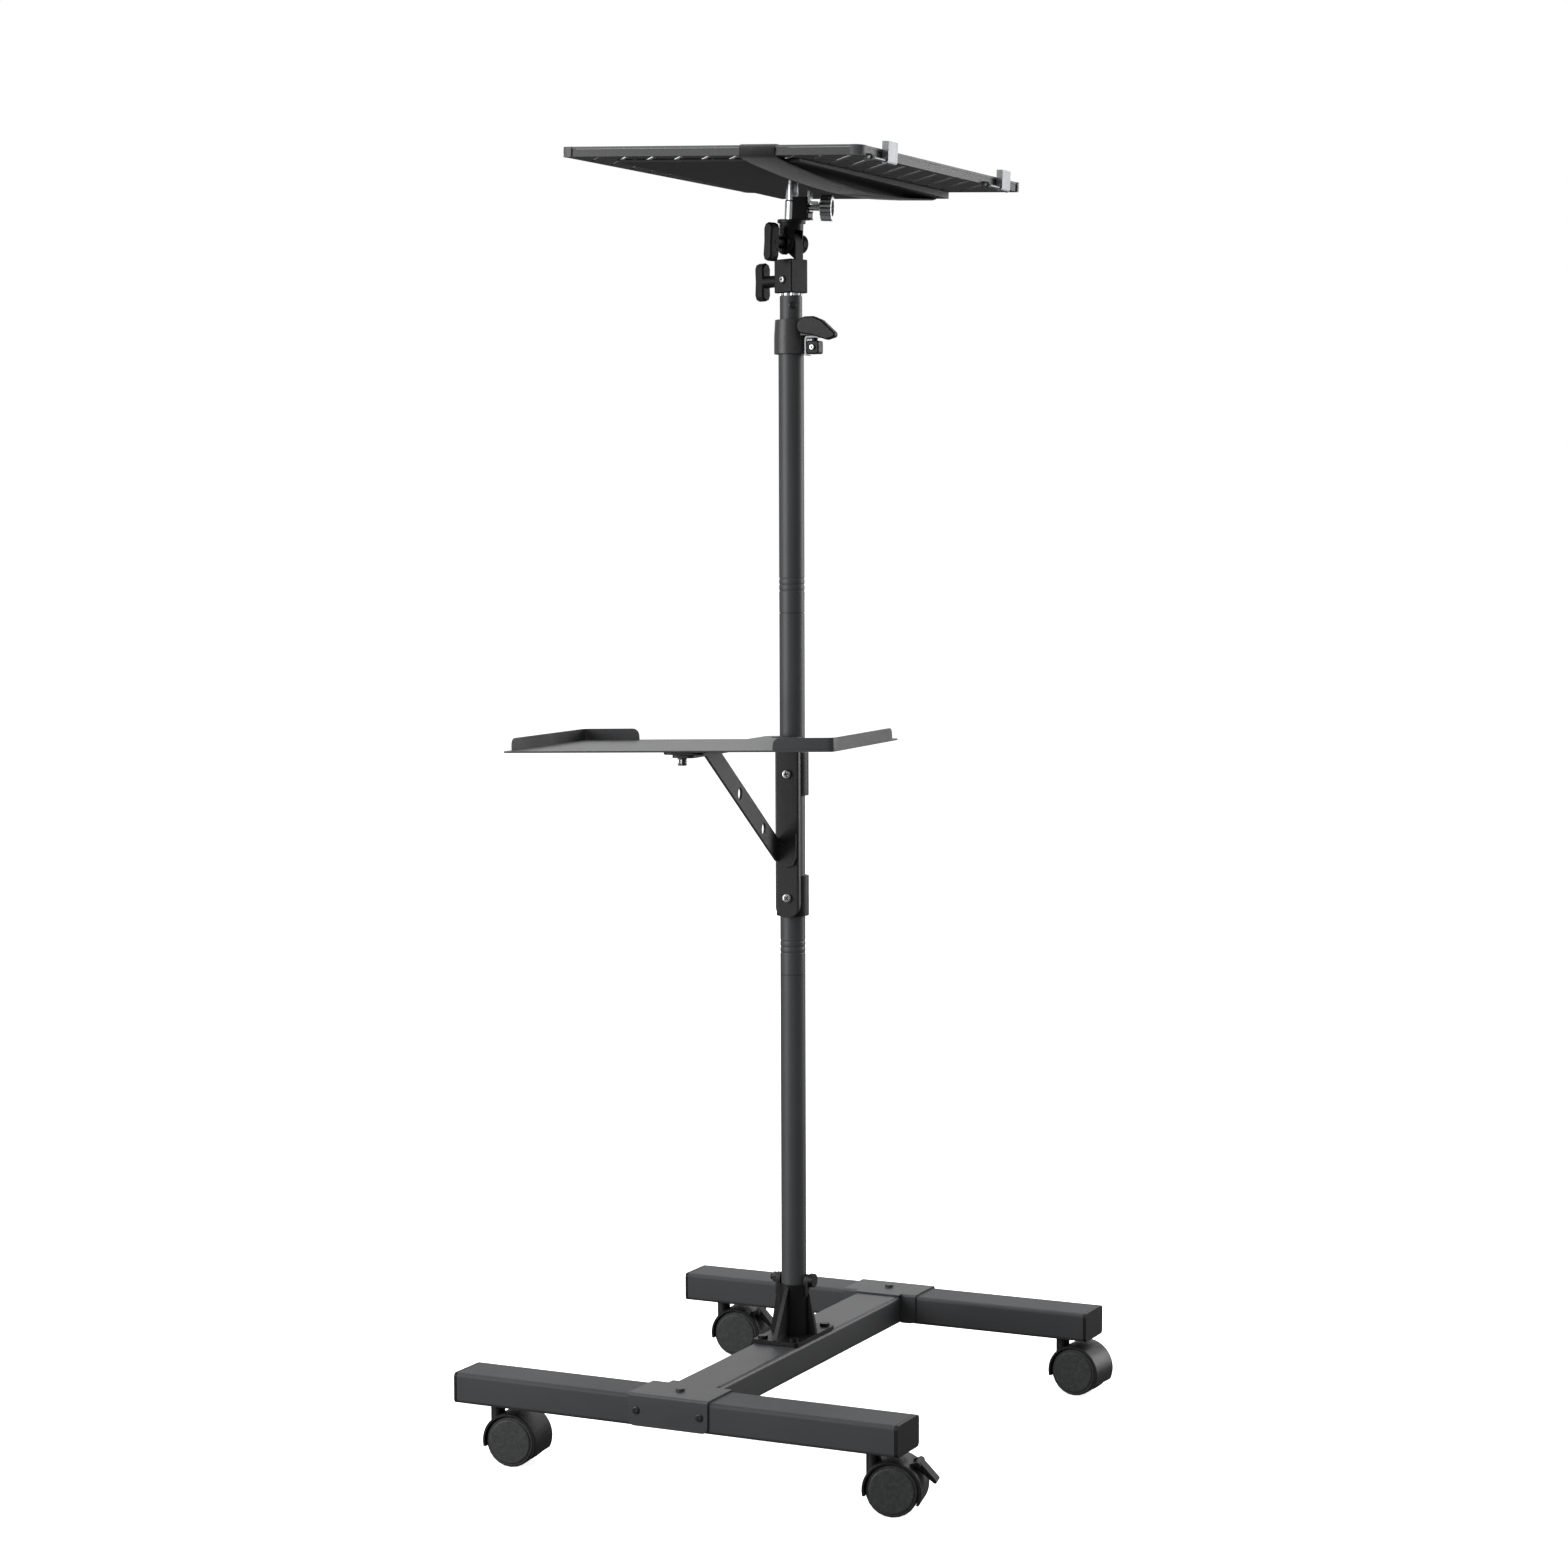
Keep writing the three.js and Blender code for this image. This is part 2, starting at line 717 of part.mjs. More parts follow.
// The pedal droops from its hinge and is pressed down to brake the wheels
function brakePedal() {
  const droop = degrees(-pedalDroop);
  const tip = point(pedalX + pedalReach * Math.cos(droop), pedalZ + pedalReach * Math.sin(droop));
  const plate = new THREE.Shape();
  plate.absarc(pedalX, pedalZ, pedalHubRadius, droop + Math.PI / 2, droop - Math.PI / 2 + 2 * Math.PI);
  plate.absarc(tip.x, tip.y, pedalThickness / 2, droop - Math.PI / 2, droop + Math.PI / 2);
  const pinHalf = pedalWidth / 2 + turnGap + earThickness;
  return join([
    softPrism(plate, pedalWidth, hoodBevel, alongY),
    rod(pedalPinRadius, -pinHalf, pinHalf, alongY, [pedalX, 0, pedalZ]),
  ]);
}

const braked = new Set(['front_right', 'rear_left']);
for (const [end, y] of bars) {
  for (const [side, sign] of sides) {
    const corner = `${end}_${side}`;
    const group = new THREE.Group();
    group.position.set(sign * stemX, y, 0);
    group.rotation.z = degrees(casterTurns[corner]);
    cart.add(group);
    piece(`${corner}_stem`, casterStem(), chrome, group);
    piece(`${corner}_hood`, casterHood(braked.has(corner)), blackPlastic, group);
    piece(`${corner}_wheels`, wheelPair(), wheelPlastic, group);
    if (braked.has(corner)) piece(`${corner}_brake_pedal`, brakePedal(), blackPlastic, group);
  }
}

// Column socket: flange, tapered sleeve, four gussets and two ears for the cross bolt
function columnSocket() {
  const flange = prism(
    roundedRectangle(flangeWidth, flangeDepth, flangeCorner),
    flangeHeight,
    alongZ,
    [0, 0, flangeBottom + flangeHeight / 2],
  );
  const sleeve = turned([
    [0, flangeBottom],
    [sleeveFootRadius, flangeBottom],
    [sleeveFootRadius, flangeTop],
    [sleeveTopRadius, socketTop],
    [0, socketTop],
  ]);
  const bore = boreFor(tubeRadius, seatGap, tubeSegments);
  const gusset = (reach) => polygon([
    [bore, flangeTop - gussetFoot],
    [reach, flangeTop - gussetFoot],
    [reach, flangeTop + gussetFoot],
    [sleeveTopRadius + gussetFoot / 2, socketTop - gussetFoot],
    [bore, socketTop - gussetFoot],
  ]);
  const mirror = new THREE.Matrix4().makeRotationZ(Math.PI);
  const ribs = [[flangeWidth / 2, alongY], [flangeDepth / 2, alongX]].flatMap(([reach, direction]) => {
    const facing = mirror.clone().multiply(direction);
    return [direction, facing].map((way) => prism(gusset(reach), gussetThickness, way));
  });
  const earTop = new THREE.Shape();
  earTop.moveTo(earWidth / 2, socketTop - earWidth);
  earTop.absarc(0, socketBoltZ, earWidth / 2, 0, Math.PI);
  earTop.lineTo(-earWidth / 2, socketTop - earWidth);
  const earSheet = sleeveTopRadius + earProud - bore;
  const ears = sides.map(([, sign]) => prism(earTop, earSheet, alongX, [sign * (bore + earSheet / 2), 0, 0]));
  const bolts = sides.flatMap(([, x]) => sides.flatMap(([, y]) => {
    const place = [x * flangeBoltX, y * flangeBoltY, 0];
    return [
      rod(boltRadius, barTop - screwReach, flangeTop, alongZ, place),
      rod(flangeBoltRadius, flangeTop - flangeHeight / 2, flangeTop + flangeBoltHeight, alongZ, place),
    ];
  }));
  return cut(join([flange, sleeve, ...ribs, ...ears, ...bolts]), [
    rod(bore, flangeTop, socketBoltZ + earWidth, alongZ, [0, 0, 0], tubeSegments),
    rod(boreFor(boltRadius, seatGap), -flangeWidth, flangeWidth, alongX, [0, 0, socketBoltZ]),
  ]);
}
piece('column_socket', columnSocket(), blackPlastic, cart);

const earFace = sleeveTopRadius + earProud + seatGap;
const socketAxis = [0, 0, socketBoltZ];
piece('socket_bolt', join([
  rod(boltRadius, -earFace - nutHeight - boltRadius, earFace + boltHeadHeight / 2, alongX, socketAxis),
  rod(boltHeadRadius, earFace, earFace + boltHeadHeight, alongX, socketAxis, 2 * smallSegments),
]), blackPlastic, cart);
piece('socket_nut', cut(
  rod(nutRadius, -earFace - nutHeight, -earFace, alongX, socketAxis, 6),
  [rod(boreFor(boltRadius, seatGap), -flangeWidth, flangeWidth, alongX, socketAxis)],
), chrome, cart);

// Column tubes: each lower one ends in a narrower spigot inside the next
function columnTube(bottom, top, grooves, spigot) {
  const outer = [[tubeRadius, bottom]];
  for (let i = 0; i < grooves; i += 1) {
    const middle = bottom + grooveRise + i * groovePitch;
    outer.push([tubeRadius, middle - grooveWidth / 2]);
    outer.push([tubeRadius - grooveDepth, middle]);
    outer.push([tubeRadius, middle + grooveWidth / 2]);
  }
  outer.push([tubeRadius, top]);
  const spigotRadius = tubeBore - seatGap;
  const spigotTop = top + spigotLength;
  const end = spigot
    ? [[spigotRadius, top], [spigotRadius, spigotTop], [spigotRadius - spigotWall, spigotTop],
      [spigotRadius - spigotWall, top - spigotLength], [tubeBore, top - spigotLength - spigotWall]]
    : [[tubeBore, top]];
  return turned([...outer, ...end, [tubeBore, bottom], [tubeRadius, bottom]]);
}
const lowerTube = columnTube(flangeTop + seatGap, lowerTubeTop, 0, true);
const boltPass = rod(boreFor(boltRadius, seatGap), -flangeWidth, flangeWidth, alongX, socketAxis);
piece('lower_tube', lowerTube.subtract(boltPass), tubeCoat, cart);
piece('middle_tube', columnTube(lowerTubeTop + seatGap, middleTubeTop, grooveCount, true), tubeCoat, cart);
piece('upper_tube', columnTube(middleTubeTop + seatGap, upperTubeTop, grooveCount, false), tubeCoat, cart);

// Collar clamp: a tapered ring, split at its lug, that steps from the tube down to the mast
function collar() {
  const ring = turned([
    [0, collarBottom],
    [collarRadius, collarBottom],
    [collarRadius, (collarBottom + collarTop) / 2],
    [collarTopRadius, collarTop - seatGap],
    [0, collarTop],
  ]);
  const lug = block(
    [mastRadius + mastWall, -lugHalfWidth, lugBottom],
    [leverOffset + lugLength / 2, lugHalfWidth, collarTop - clampBlockCorner],
  );
  const slitHalf = collarSlit / 2;
  return cut(join([ring, lug]), [
    rod(boreFor(tubeRadius, seatGap, tubeSegments), collarBottom - overrun, upperTubeTop + seatGap,
      alongZ, [0, 0, 0], tubeSegments),
    rod(boreFor(mastRadius, turnGap, tubeSegments), upperTubeTop, collarTop + overrun,
      alongZ, [0, 0, 0], tubeSegments),
    block([0, -slitHalf, collarBottom - overrun], [leverOffset + lugLength, slitHalf, collarTop + overrun]),
    rod(boreFor(boltRadius, turnGap), -lugLength - lugHalfWidth, lugLength + lugHalfWidth, alongY,
      [leverOffset, 0, leverHeight]),
  ]);
}
piece('collar_clamp', collar(), blackPlastic, cart);

// The plate and block that back the collar's lug from below
const plateX = collarRadius + seatGap;
const plateTop = lugBottom - seatGap;
function clampPlate() {
  const half = clampPlateSheet / 2;
  const section = bentSheet([
    [plateX + half, collarBottom - clampPlateDrop],
    [plateX + half, plateTop - half],
    [plateX + half + clampPlateReach, plateTop - half],
  ], clampPlateSheet, half);
  return prism(section, clampPlateWidth, alongY);
}
piece('clamp_plate', clampPlate(), chrome, cart);

function clampBlock() {
  const stubTop = plateTop - clampPlateSheet - seatGap;
  const middle = [
    plateX + clampPlateSheet + seatGap + clampBlockSize / 2,
    0,
    stubTop - clampBlockDrop - clampBlockSize / 2,
  ];
  const body = roundedRectangle(clampBlockSize, clampBlockSize, clampBlockCorner);
  const front = -clampPlateWidth / 2;
  return join([
    softPrism(body, clampPlateWidth, clampBlockCorner / 2, alongY, middle),
    rod(clampScrewRadius, middle[2], stubTop, alongZ, [middle[0], 0, 0]),
    rod(clampScrewRadius, front - clampScrewHeight, front + clampScrewHeight, alongY, [middle[0], 0, middle[2]]),
  ]);
}
piece('clamp_block', clampBlock(), blackPlastic, cart);

// Wing lever: a hub on the lug's bolt with one wing that curves down and out
function wingLever() {
  const hub = point(leverOffset, leverHeight);
  const tip = point(leverOffset + leverReach, leverHeight - leverDrop);
  const wing = new THREE.Shape();
  wing.absarc(hub.x, hub.y, leverHubRadius, degrees(90), degrees(235));
  wing.quadraticCurveTo(
    hub.x + leverHubRadius, hub.y - leverHubRadius,
    tip.x - leverDrop, tip.y - leverTipRadius - leverTipRadius / 2,
  );
  wing.absarc(tip.x - leverTipRadius, tip.y, leverTipRadius, degrees(-60), degrees(50));
  wing.quadraticCurveTo(hub.x + leverReach / 2, hub.y + leverHubRadius, hub.x + leverHubRadius, hub.y + leverHubRadius);
  const middleY = -lugHalfWidth - turnGap - leverThickness / 2;
  const reach = lugHalfWidth + turnGap;
  return join([
    softPrism(wing, leverThickness, leverTipRadius / 3, alongY, [0, middleY, 0]),
    rod(boltRadius, middleY, reach + nutHeight, alongY, [hub.x, 0, hub.y]),
    rod(nutRadius, reach, reach + nutHeight, alongY, [hub.x, 0, hub.y], 6),
  ]);
}
piece('wing_lever', wingLever(), blackPlastic, cart);

// Mast: slides in the upper tube; the plug in its top is drilled for the stud that carries the head
function mast() {
  const bore = mastRadius - mastWall;
  const bottom = middleTubeTop + spigotLength + mastFloor;
  const studHole = boreFor(studRadius, seatGap, tubeSegments);
  const tube = turned([
    [bore, bottom],
    [mastRadius, bottom],
    [mastRadius, mastTop],
    [studHole, mastTop],
    [studHole, mastTop - mastPlug],
    [bore, mastTop - mastPlug],
    [bore, bottom],
  ]);
  const outwards = new THREE.Matrix4().makeRotationZ(degrees(mastScrewAngle)).multiply(alongX);
  const screw = rod(mastScrewRadius, bore, mastRadius + mastScrewHeight, outwards, [0, 0, mastTop - mastScrewDrop]);
  return tube.add(screw);
}
piece('mast_tube', mast(), tubeCoat, cart);

function mastStud() {
  const top = mastTop + studLength;
  return turned([
    [0, mastTop - mastPlug],
    [studRadius, mastTop - mastPlug],
    [studRadius, top - studRadius / 8],
    [studRadius - studRadius / 8, top],
    [0, top],
  ]);
}
piece('mast_stud', mastStud(), chrome, cart);

function toothedWasher() {
  const outline = [];
  for (let i = 0; i < 4 * washerTeeth; i += 1) {
    const radius = i % 4 < 2 ? washerRadius : washerRadius - washerToothDepth;
    const angle = (i * Math.PI) / (2 * washerTeeth);
    outline.push([radius * Math.cos(angle), radius * Math.sin(angle)]);
  }
  const bottom = mastTop + seatGap;
  const ring = prism(polygon(outline), washerHeight, alongZ, [0, 0, bottom + washerHeight / 2]);
  return ring.subtract(rod(
    boreFor(studRadius, seatGap, tubeSegments), bottom - overrun, bottom + washerHeight + overrun,
    alongZ, [0, 0, 0], tubeSegments,
  ));
}
piece('swivel_washer', toothedWasher(), chrome, cart);

// Head: the block on the mast's stud, with its own X axis along the tilt axis
const head = new THREE.Group();
head.position.z = tiltZ;
head.rotation.z = degrees(headTurn);
cart.add(head);
const blockBottom = -tiltRise - blockHeight;
const lockKnobZ = blockBottom + lockKnobRise;

function headBlock() {
  const body = softPrism(
    roundedRectangle(blockSide, blockSide, blockCorner),
    blockHeight, blockCorner / 2, alongZ, [0, 0, blockBottom + blockHeight / 2],
  );
  const lobe = new THREE.Shape();
  lobe.moveTo(tongueRadius, -tiltRise - blockCorner);
  lobe.absarc(0, 0, tongueRadius, 0, Math.PI);
  lobe.lineTo(-tongueRadius, -tiltRise - blockCorner);
  const setScrew = [-blockSide / 2 - setScrewHeight, -blockSide / 2 + setScrewHeight];
  const studTop = mastTop + studLength - tiltZ + seatGap;
  return cut(join([
    body,
    prism(lobe, tongueThickness, alongX),
    rod(setScrewRadius, ...setScrew, alongX, [0, 0, lockKnobZ]),
  ]), [
    rod(boreFor(studRadius, seatGap, tubeSegments), blockBottom - overrun, studTop,
      alongZ, [0, 0, 0], tubeSegments),
    rod(boreFor(pivotRadius, turnGap), -blockSide, blockSide, alongX),
    rod(boreFor(knobShankRadius, turnGap), 0, blockSide, alongY, [0, 0, lockKnobZ]),
  ]);
}
piece('head_block', headBlock(), blackPlastic, head);

// A winged knob on the Z axis: shank below, hub, and a waisted bar along X
function wingKnob(shankStart, hubStart, barMiddle, shank) {
  const half = knobBarLength / 2 - knobBarWidth / 2;
  const bar = new THREE.Shape();
  bar.absarc(half, 0, knobBarWidth / 2, -Math.PI / 2, Math.PI / 2);
  bar.quadraticCurveTo(0, knobBarWaist / 2, -half, knobBarWidth / 2);
  bar.absarc(-half, 0, knobBarWidth / 2, Math.PI / 2, 1.5 * Math.PI);
  bar.quadraticCurveTo(0, -knobBarWaist / 2, half, -knobBarWidth / 2);
  return join([
    softPrism(bar, knobBarThickness, knobBarWidth / 8, alongZ, [0, 0, barMiddle]),
    rod(knobHubRadius, hubStart, barMiddle),
    rod(shank, shankStart, barMiddle),
  ]);
}

// Turns a knob's axis to a direction, with its bar upright
function aim(knob, direction) {
  const turn = new THREE.Matrix4().makeBasis(up, direction.clone().cross(up), direction);
  knob.quaternion.setFromRotationMatrix(turn);
}
const lockKnob = piece('head_lock_knob', wingKnob(
  boreFor(studRadius, seatGap, tubeSegments) + seatGap, blockSide / 2 + turnGap, lockKnobOffset, knobShankRadius,
), blackPlastic, head);
lockKnob.position.z = lockKnobZ;
aim(lockKnob, back);

// Tilt yoke and everything above it lean together
const tilting = new THREE.Group();
tilting.rotation.x = degrees(trayTilt);
head.add(tilting);

function tiltYoke() {
  const flangeRoot = yokeTop + yokeFlangeHeight;
  const barrel = turned([
    [0, -yokeRadius],
    [yokeRadius, -yokeRadius],
    [yokeRadius, yokeTop],
    [yokeFlangeRadius, yokeTop],
    [yokeFlangeRadius, flangeRoot],
    [0, flangeRoot],
  ]);
  const cheek = new THREE.Shape();
  cheek.moveTo(yokeFlangeRadius, 0);
  cheek.lineTo(yokeFlangeRadius, flangeRoot + overrun);
  cheek.lineTo(-yokeFlangeRadius, flangeRoot + overrun);
  cheek.lineTo(-yokeFlangeRadius, 0);
  cheek.absarc(0, 0, yokeRadius - turnGap, Math.PI, 2 * Math.PI);
  const slotHalf = tongueThickness / 2 + turnGap;
  const slotTop = (tongueRadius + turnGap) / Math.cos(Math.PI / smallSegments);
  const bossStart = yokeRadius - knobShankRadius;
  return cut(join([
    barrel.intersect(prism(cheek, 2 * yokeFlangeRadius, alongX)),
    rod(yokeBossRadius, bossStart, yokeRadius + yokeBossHeight, alongX, [0, 0, 0], 2 * smallSegments),
    rod(yokeBossRadius - turnGap, -yokeRadius - turnGap, -bossStart, alongX, [0, 0, 0], 2 * smallSegments),
  ]), [
    block([-slotHalf, -yokeFlangeRadius, -yokeFlangeRadius], [slotHalf, yokeFlangeRadius, slotTop]),
    rod(boreFor(pivotRadius, seatGap), -2 * yokeFlangeRadius, 2 * yokeFlangeRadius, alongX),
    rod(boreFor(postRadius, turnGap, tubeSegments), flangeRoot - postSeatDepth, flangeRoot + overrun,
      alongZ, [0, 0, 0], tubeSegments),
  ]);
}
piece('tilt_yoke', tiltYoke(), blackPlastic, tilting);

const pivotEnd = yokeRadius + turnGap + seatGap;
piece('pivot_bolt', join([
  rod(pivotRadius, -pivotEnd - knobHubRadius, yokeRadius + yokeBossHeight + pivotHeadHeight, alongX),
  rod(pivotHeadRadius, yokeRadius + yokeBossHeight + seatGap,
    yokeRadius + yokeBossHeight + seatGap + pivotHeadHeight, alongX, [0, 0, 0], 6),
]), chrome, tilting);

const tiltKnobBore = rod(boreFor(pivotRadius, seatGap), 0, pivotEnd + knobHubRadius + seatGap);
const tiltKnob = piece('tilt_knob', wingKnob(
  pivotEnd + seatGap, pivotEnd + seatGap, tiltKnobOffset, knobHubRadius,
).subtract(tiltKnobBore), blackPlastic, tilting);
aim(tiltKnob, right.clone().negate());

// Tray post: a turned pin in the yoke's top, shouldered, with a threaded stud through the tray
const yokeFace = yokeTop + yokeFlangeHeight;
const panDepthAt = (y) => {
  const share = (y - panFront) / (panBack - panFront);
  return panFrontDepth + share * (panBackDepth - panFrontDepth);
};
const postTop = trayHeight - seatGap - panDepthAt(0) - seatGap;
const nutBottom = trayHeight + traySheet + seatGap;
piece('tray_post', turned([
  [0, yokeFace - postSeatDepth + seatGap],
  [postRadius, yokeFace - postSeatDepth + seatGap],
  [postRadius, postShoulder],
  [postNeckRadius, postShoulder + postRadius - postNeckRadius],
  [postNeckRadius, postTop],
  [postStudRadius, postTop],
  [postStudRadius, nutBottom + trayNutHeight],
  [0, nutBottom + trayNutHeight],
]), chrome, tilting);

// Ribbed jaw beside the post, with its screw, fluted knob, hook and nut
const jaw = new THREE.Group();
jaw.rotation.z = degrees(jawTurn - headTurn);
tilting.add(jaw);
const jawBottom = yokeFace + seatGap;

function postJaw() {
  const outline = [[jawStart, jawHalfWidth], [jawStart, -jawHalfWidth]];
  const ribs = Math.round((2 * jawHalfWidth) / jawRibPitch);
  const pitch = (2 * jawHalfWidth) / ribs;
  for (let i = 0; i < ribs; i += 1) {
    const y = i * pitch - jawHalfWidth;
    outline.push([jawEnd - jawRibDepth, y], [jawEnd, y + pitch / 4], [jawEnd, y + (3 * pitch) / 4]);
  }
  outline.push([jawEnd - jawRibDepth, jawHalfWidth]);
  const body = prism(polygon(outline), jawHeight, alongZ, [0, 0, jawBottom + jawHeight / 2]);
  return cut(body, [
    rod(boreFor(postRadius, turnGap, tubeSegments), 0, jawBottom + 2 * jawHeight,
      alongZ, [0, 0, 0], tubeSegments),
    rod(boreFor(jawShankRadius, turnGap), 0, jawEnd + overrun, alongX, [0, 0, jawScrewHeight]),
  ]);
}
piece('post_jaw', postJaw(), blackPlastic, jaw);

const hookStart = jawEnd + seatGap;
function hook() {
  const half = hookSheet / 2;
  const footZ = jawScrewHeight + jawShankRadius + turnGap + half;
  const section = bentSheet([
    [hookStart + half, footZ + hookHeight],
    [hookStart + half, footZ],
    [fluteKnobStart - fluteKnobCone - turnGap, footZ],
  ], hookSheet, half / 2);
  return prism(section, hookWidth, alongY);
}
piece('knob_hook', hook(), chrome, jaw);

// The fluted knob is turned on one shank with a cone behind it and a dished face
function flutedKnob() {
  const outline = [];
  const steps = 3 * fluteCount;
  for (let i = 0; i < steps; i += 1) {
    const radius = i % 3 === 0 ? fluteKnobRadius - fluteDepth : fluteKnobRadius;
    const angle = (2 * Math.PI * i) / steps;
    outline.push([radius * Math.cos(angle), radius * Math.sin(angle)]);
  }
  const axis = [0, 0, jawScrewHeight];
  const end = fluteKnobStart + fluteKnobLength;
  const cone = turned([
    [0, fluteKnobStart - fluteKnobCone],
    [fluteKnobConeRadius, fluteKnobStart - fluteKnobCone],
    [fluteKnobRadius - 2 * fluteDepth, fluteKnobStart],
    [0, fluteKnobStart],
  ], 2 * smallSegments).transform(matrixOf(alongX, axis));
  const middle = [(fluteKnobStart + end) / 2, 0, jawScrewHeight];
  return cut(join([
    prism(polygon(outline), fluteKnobLength, alongX, middle),
    cone,
    rod(jawShankRadius, postRadius + 2 * turnGap, fluteKnobStart, alongX, axis),
  ]), [rod(fluteDishRadius, end - fluteDishDepth, end + overrun, alongX, axis, 2 * smallSegments)]);
}

// A placing matrix as the sixteen numbers, column by column, that a solid is moved with
function matrixOf(direction, place) {
  return new THREE.Matrix4().makeTranslation(...place).multiply(direction).toArray();
}
piece('fluted_knob', flutedKnob(), chrome, jaw);

piece('jaw_nut', rod(
  jawNutRadius, hookStart, hookStart + jawNutLength, alongX, [0, 0, jawScrewHeight - jawNutDrop], 6,
), chrome, jaw);

// Upper tray, with its origin at the middle of the sheet's underside
const tray = new THREE.Group();
const turnBack = degrees(-headTurn);
const shift = point(trayShiftX, trayShiftY).rotateAround(point(0, 0), turnBack);
tray.position.set(shift.x, shift.y, trayHeight);
tray.rotation.z = degrees(trayYaw - headTurn);
tilting.add(tray);
const postSpot = point(-trayShiftX, -trayShiftY).rotateAround(point(0, 0), degrees(-trayYaw));

// The part of a line that lies inside a rectangle, as two distances along it
function insideSpan(start, along, low, high) {
  let from = -Infinity;
  let to = Infinity;
  for (const axis of ['x', 'y']) {
    const near = (low[axis] - start[axis]) / along[axis];
    const far = (high[axis] - start[axis]) / along[axis];
    from = Math.max(from, Math.min(near, far));
    to = Math.min(to, Math.max(near, far));
  }
  return from < to ? [from, to] : null;
}

// Long slots cross the tray's margins at a slant; short ones join them at right angles
function slotCutters() {
  const along = point(Math.cos(degrees(slotAngle)), Math.sin(degrees(slotAngle)));
  const across = point(along.y, -along.x);
  const edge = rimWall + slotMargin;
  const low = point(edge - trayWidth / 2, edge - trayDepth / 2);
  const high = point(trayWidth / 2 - edge, trayDepth / 2 - edge);
  const coreLow = point(centreLeft, centreFront);
  const coreHigh = point(centreRight, centreBack);
  const count = Math.ceil(Math.hypot(trayWidth, trayDepth) / 2 / slotPitch);
  const slots = [];
  const bar = (middle, direction, length, width) => {
    const half = direction.clone().multiplyScalar(length / 2);
    const side = point(-direction.y, direction.x).multiplyScalar(width / 2);
    slots.push([
      middle.clone().sub(half).sub(side), middle.clone().add(half).sub(side),
      middle.clone().add(half).add(side), middle.clone().sub(half).add(side),
    ]);
  };
  const margins = (start, direction) => {
    const outer = insideSpan(start, direction, low, high);
    if (!outer) return [];
    const core = insideSpan(start, direction, coreLow, coreHigh);
    if (!core) return [outer];
    return [[outer[0], core[0] - slotEnd], [core[1] + slotEnd, outer[1]]];
  };
  for (let i = -count; i <= count; i += 1) {
    const start = across.clone().multiplyScalar(i * slotPitch);
    for (const [from, to] of margins(start, along)) {
      const trim = slotWidth;
      if (to - from > slotPitch * slotRunShare + 2 * trim) {
        const middle = start.clone().addScaledVector(along, (from + to) / 2);
        bar(middle, along, to - from - 2 * trim, slotWidth);
      }
    }
    const rowStart = along.clone().multiplyScalar(i * slotPitch);
    const spans = margins(rowStart, across);
    for (let j = -count; j < count; j += 1) {
      const from = j * slotPitch + slotWidth / 2 + crossSlotBridge;
      const to = (j + 1) * slotPitch - slotWidth / 2 - crossSlotBridge;
      if (spans.some(([low1, high1]) => from > low1 && to < high1)) {
        const middle = rowStart.clone().addScaledVector(across, (from + to) / 2);
        bar(middle, across, to - from, crossSlotWidth);
      }
    }
  }
  return slots;
}

const eyeReach = stopPinRadius + seatGap + stopEyeWall;
const stopX = trayWidth / 2 + edgingOverhang + turnGap + stopThickness / 2;
const stopZ = -stopPinDrop;
const stopPlace = trayDepth / 2 - stopInset;

function traySheetBody() {
  const outline = roundedRectangle(trayWidth, trayDepth, trayCorner);
  for (const slot of slotCutters()) outline.holes.push(new THREE.Path(slot));
  const sheet = prism(outline, traySheet, alongZ, [0, 0, traySheet / 2]);
  const rimHole = roundedRectangle(trayWidth - 2 * rimWall, trayDepth - 2 * rimWall, trayCorner - rimWall);
  const rim = prism(hollow(roundedRectangle(trayWidth, trayDepth, trayCorner), rimHole), rimHeight,
    alongZ, [0, 0, rimHeight / 2]);
  const eyes = [-1, 1].map((end) => {
    const y = end * stopPlace - stopWidth / 2 - stopPinReach;
    const profile = new THREE.Shape();
    profile.moveTo(trayWidth / 2 - rimWall, traySheet);
    profile.lineTo(trayWidth / 2 - rimWall, stopZ - eyeReach);
    profile.lineTo(stopX, stopZ - eyeReach);
    profile.absarc(stopX, stopZ, eyeReach, -Math.PI / 2, Math.PI / 2);
    profile.lineTo(trayWidth / 2 - rimWall / 2, stopZ + eyeReach);
    const eye = prism(profile, stopEyeWidth, alongY, [0, y, 0]);
    const bore = boreFor(stopPinRadius, seatGap);
    return eye.subtract(rod(bore, y - stopEyeWidth, y + stopEyeWidth, alongY, [stopX, 0, stopZ]));
  });
  const studBore = rod(boreFor(postStudRadius, seatGap), -overrun, traySheet + overrun,
    alongZ, [postSpot.x, postSpot.y, 0]);
  return join([sheet, rim, ...eyes]).subtract(studBore);
}
piece('tray_sheet', traySheetBody(), powderCoat, tray);

